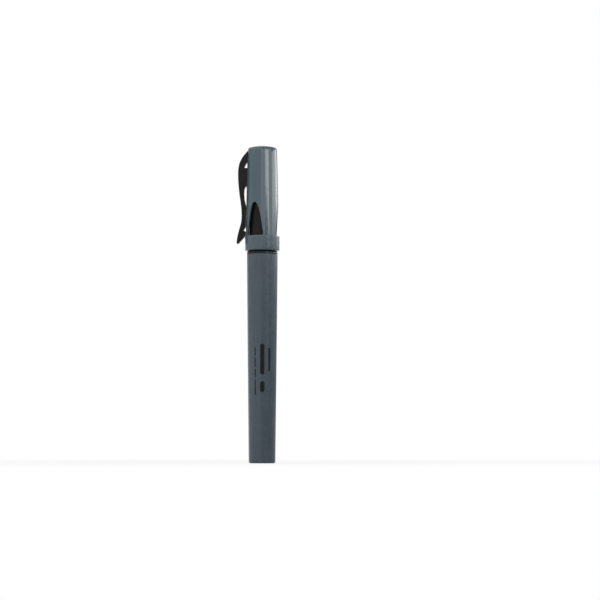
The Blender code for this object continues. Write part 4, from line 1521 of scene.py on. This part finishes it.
@dataclass
class Studio:
    """Pale floor, white surroundings, soft boxes and the camera, in metres.

    Attributes:
        turn: Degrees that the camera and the lamps are turned round the pen.
        floor_radius: Radius of the floor.
        floor_tone: Grey of the floor, linear.
        floor_glow: Brightness that the floor adds of its own near the pen.
        horizon: Millimetres from the pen between which the floor goes over to white.
        backdrop: Millimetres of depth between which the floor starts to show in reflections.
        ambient: Brightness of the air on the left and on the right.
        shade: Brightness of what reflections show on the camera's side.
        flag: How far a black flag on the right hides the white from reflections.
        camera_place: Where the camera stands, before the turn.
        camera_target: Where it looks, before the turn.
        lens: Focal length in millimetres.
        boxes: The lamps.
    """

    turn: float = 2.6
    floor_radius: float = 6.0
    floor_tone: float = 0.64
    floor_glow: float = 0.50
    horizon: tuple[float, float] = (60.0, 500.0)
    backdrop: tuple[float, float] = (-60.0, 60.0)
    ambient: tuple[float, float] = (0.86, 0.02)
    shade: float = 0.05
    flag: float = 0.96
    camera_place: tuple[float, float, float] = (0.01607, -0.95, 0.006)
    camera_target: tuple[float, float, float] = (0.01607, 0.0, 0.06926)
    lens: float = 134.33
    boxes: tuple[SoftBox, ...] = (
        SoftBox("wall_left", -107.0, -7.0, 1.20, -0.10, 1.30, 0.95),
        SoftBox("front_right", -9.0, 22.0, 1.20, 0.21, 0.50, 1.80),
        SoftBox("strip_1", 22.0, 30.0, 1.00, 0.262, 0.44, 6.0),
        SoftBox("strip_2", 30.0, 37.0, 1.00, 0.252, 0.44, 6.5),
        SoftBox("strip_3", 37.0, 43.0, 1.00, 0.236, 0.44, 6.5),
        SoftBox("strip_4", 43.0, 52.0, 1.00, 0.221, 0.44, 6.5),
        SoftBox("side_low", 47.0, 54.0, 1.01, 0.185, 0.221, 2.0),
        SoftBox("side_right", 54.0, 77.0, 1.00, 0.185, 0.44, 2.2),
        SoftBox("rim_upper", 77.0, 138.0, 1.10, 0.250, 0.38, 4.6),
        SoftBox("rim_lower", 77.0, 138.0, 1.10, 0.200, 0.250, 2.4),
    )

    @staticmethod
    def seen(sketch: Sketch, behind: Value) -> Signal:
        """Rate how far a light path shows the white background.

        Args:
            sketch: The material's or the world's sketch.
            behind: How far the point or direction lies behind the pen, from 0 to 1.

        Returns:
            1 for the camera, and the share behind the pen for glossy and transmitted light.
        """
        path = sketch.node("ShaderNodeLightPath")
        bent = path.beside("Is Glossy Ray").at_least(path.beside("Is Transmission Ray"))
        return path.at_least(bent * behind)

    def build_floor(self) -> bpy.types.Object:
        """Lay a round floor that keeps the pen's shadow."""
        shape = Shape()
        rings = [shape.ring(radius / MM, 0.0, 96) for radius in (0.05, 0.2, 0.6, 1.8, self.floor_radius)]
        shape.fan(rings[0], shape.add(0.0, 0.0, 0.0))
        for inner, outer in zip(rings, rings[1:]):
            shape.bridge(inner, outer)
        floor = shape.piece("studio_floor")
        coat = Coat("studio_paper", (self.floor_tone,) * 3, 0.9)
        fibre = coat.sketch.noise(coat.spot, 1.2, 3.0)
        coat.tint(fibre * 0.04, (self.floor_tone * 0.96,) * 3)
        coat.dull((fibre - 0.5) * 0.05)
        coat.raise_by(fibre * 0.01)
        material = coat.fix(Specular_IOR_Level=0.0)
        sketch = coat.sketch
        lit = Signal(sketch, coat.shader.outputs[0])
        glow, white = (
            sketch.node("ShaderNodeEmission", None, {"Color": WHITE, "Strength": strength})
            for strength in (self.floor_glow, 1.0)
        )
        both = sketch.node("ShaderNodeAddShader", None, {0: lit, 1: glow})
        away = sketch.node("ShaderNodeVectorMath", {"operation": "LENGTH"}, {0: coat.spot}, output="Value")
        far = away.rise(*self.horizon)
        both = sketch.node("ShaderNodeMixShader", None, {"Fac": far, 1: both, 2: white})
        _, depth, _ = sketch.axes(coat.spot)
        behind = depth.rise(*self.backdrop)
        seen = self.seen(sketch, behind)
        shown = sketch.node("ShaderNodeMixShader", None, {"Fac": seen, 1: lit, 2: both})
        output = material.node_tree.nodes["Material Output"]
        sketch.feed(output.inputs["Surface"], shown)
        cover(floor, material)
        return floor

    def build_world(self) -> None:
        """Surround the pen with white that lights it softly."""
        world = bpy.data.worlds.new("studio_air")
        world.use_nodes = True
        bpy.context.scene.world = world
        sketch = Sketch(world.node_tree)
        glossy = sketch.node("ShaderNodeLightPath", output="Is Glossy Ray")
        way = sketch.node("ShaderNodeTexCoord", output="Generated")
        side, depth, height = sketch.axes(way)
        held_back = self.flag * side.rise(0.1, 0.4) * (1.0 - height.rise(0.05, 0.11))
        behind = depth.rise(0.15, 0.75) * (1.0 - held_back)
        behind = behind.at_least(height.rise(0.16, 0.40))
        left, right = self.ambient
        air = sketch.blend(side.rise(-1.0, 1.0), (left,) * 3, (right,) * 3)
        room = sketch.blend(glossy, air, (self.shade,) * 3)
        tone = sketch.blend(self.seen(sketch, behind), room, WHITE)
        sketch.feed(world.node_tree.nodes["Background"].inputs["Color"], tone)

    def build_camera(self) -> bpy.types.Object:
        """Stand the camera at the photograph's angle."""
        data = bpy.data.cameras.new("studio_camera")
        data.lens = self.lens
        data.clip_start, data.clip_end = 0.01, 50.0
        camera = bpy.data.objects.new("studio_camera", data)
        bpy.context.scene.collection.objects.link(camera)
        turned = Matrix.Rotation(math.radians(self.turn), 3, "Z")
        camera.location = turned @ Vector(self.camera_place)
        aim = turned @ Vector(self.camera_target) - camera.location
        camera.rotation_euler = aim.to_track_quat("-Z", "Y").to_euler()
        bpy.context.scene.camera = camera
        return camera

    def build(self) -> None:
        """Build the floor, the surroundings, the lamps and the camera."""
        self.build_floor()
        self.build_world()
        for box in self.boxes:
            box.build(self.turn)
        self.build_camera()
        bpy.context.scene.view_settings.view_transform = "Standard"


def report(piece: bpy.types.Object) -> None:
    """Log a piece's name and size."""
    size = ", ".join(f"{side / MM:.2f}" for side in piece.dimensions)
    LOG.info("%s: %d faces, %s mm", piece.name, len(piece.data.polygons), size)


def main() -> None:
    """Build the studio and every piece of the marker."""
    logging.basicConfig(level=logging.INFO, format="%(name)s: %(message)s")
    Studio().build()
    barrel = Barrel()
    section = FrontSection(barrel)
    cap = CapShell()
    nib = NibUnit(section)
    grip, liner, clip = GripSleeve(section), CapLiner(cap, section), Clip(cap)
    steps = (
        (barrel.build, barrel.dress),
        (section.build, section.dress),
        (grip.build, grip.dress),
        (nib.build_holder, nib.dress_holder),
        (nib.build_nib, nib.dress_nib),
        (cap.build, cap.dress),
        (liner.build, liner.dress),
        (clip.build, clip.dress),
    )
    for build, dress in steps:
        piece = build()
        dress(piece)
        report(piece)
    InkSupply().dress()


if __name__ == "__main__":
    main()
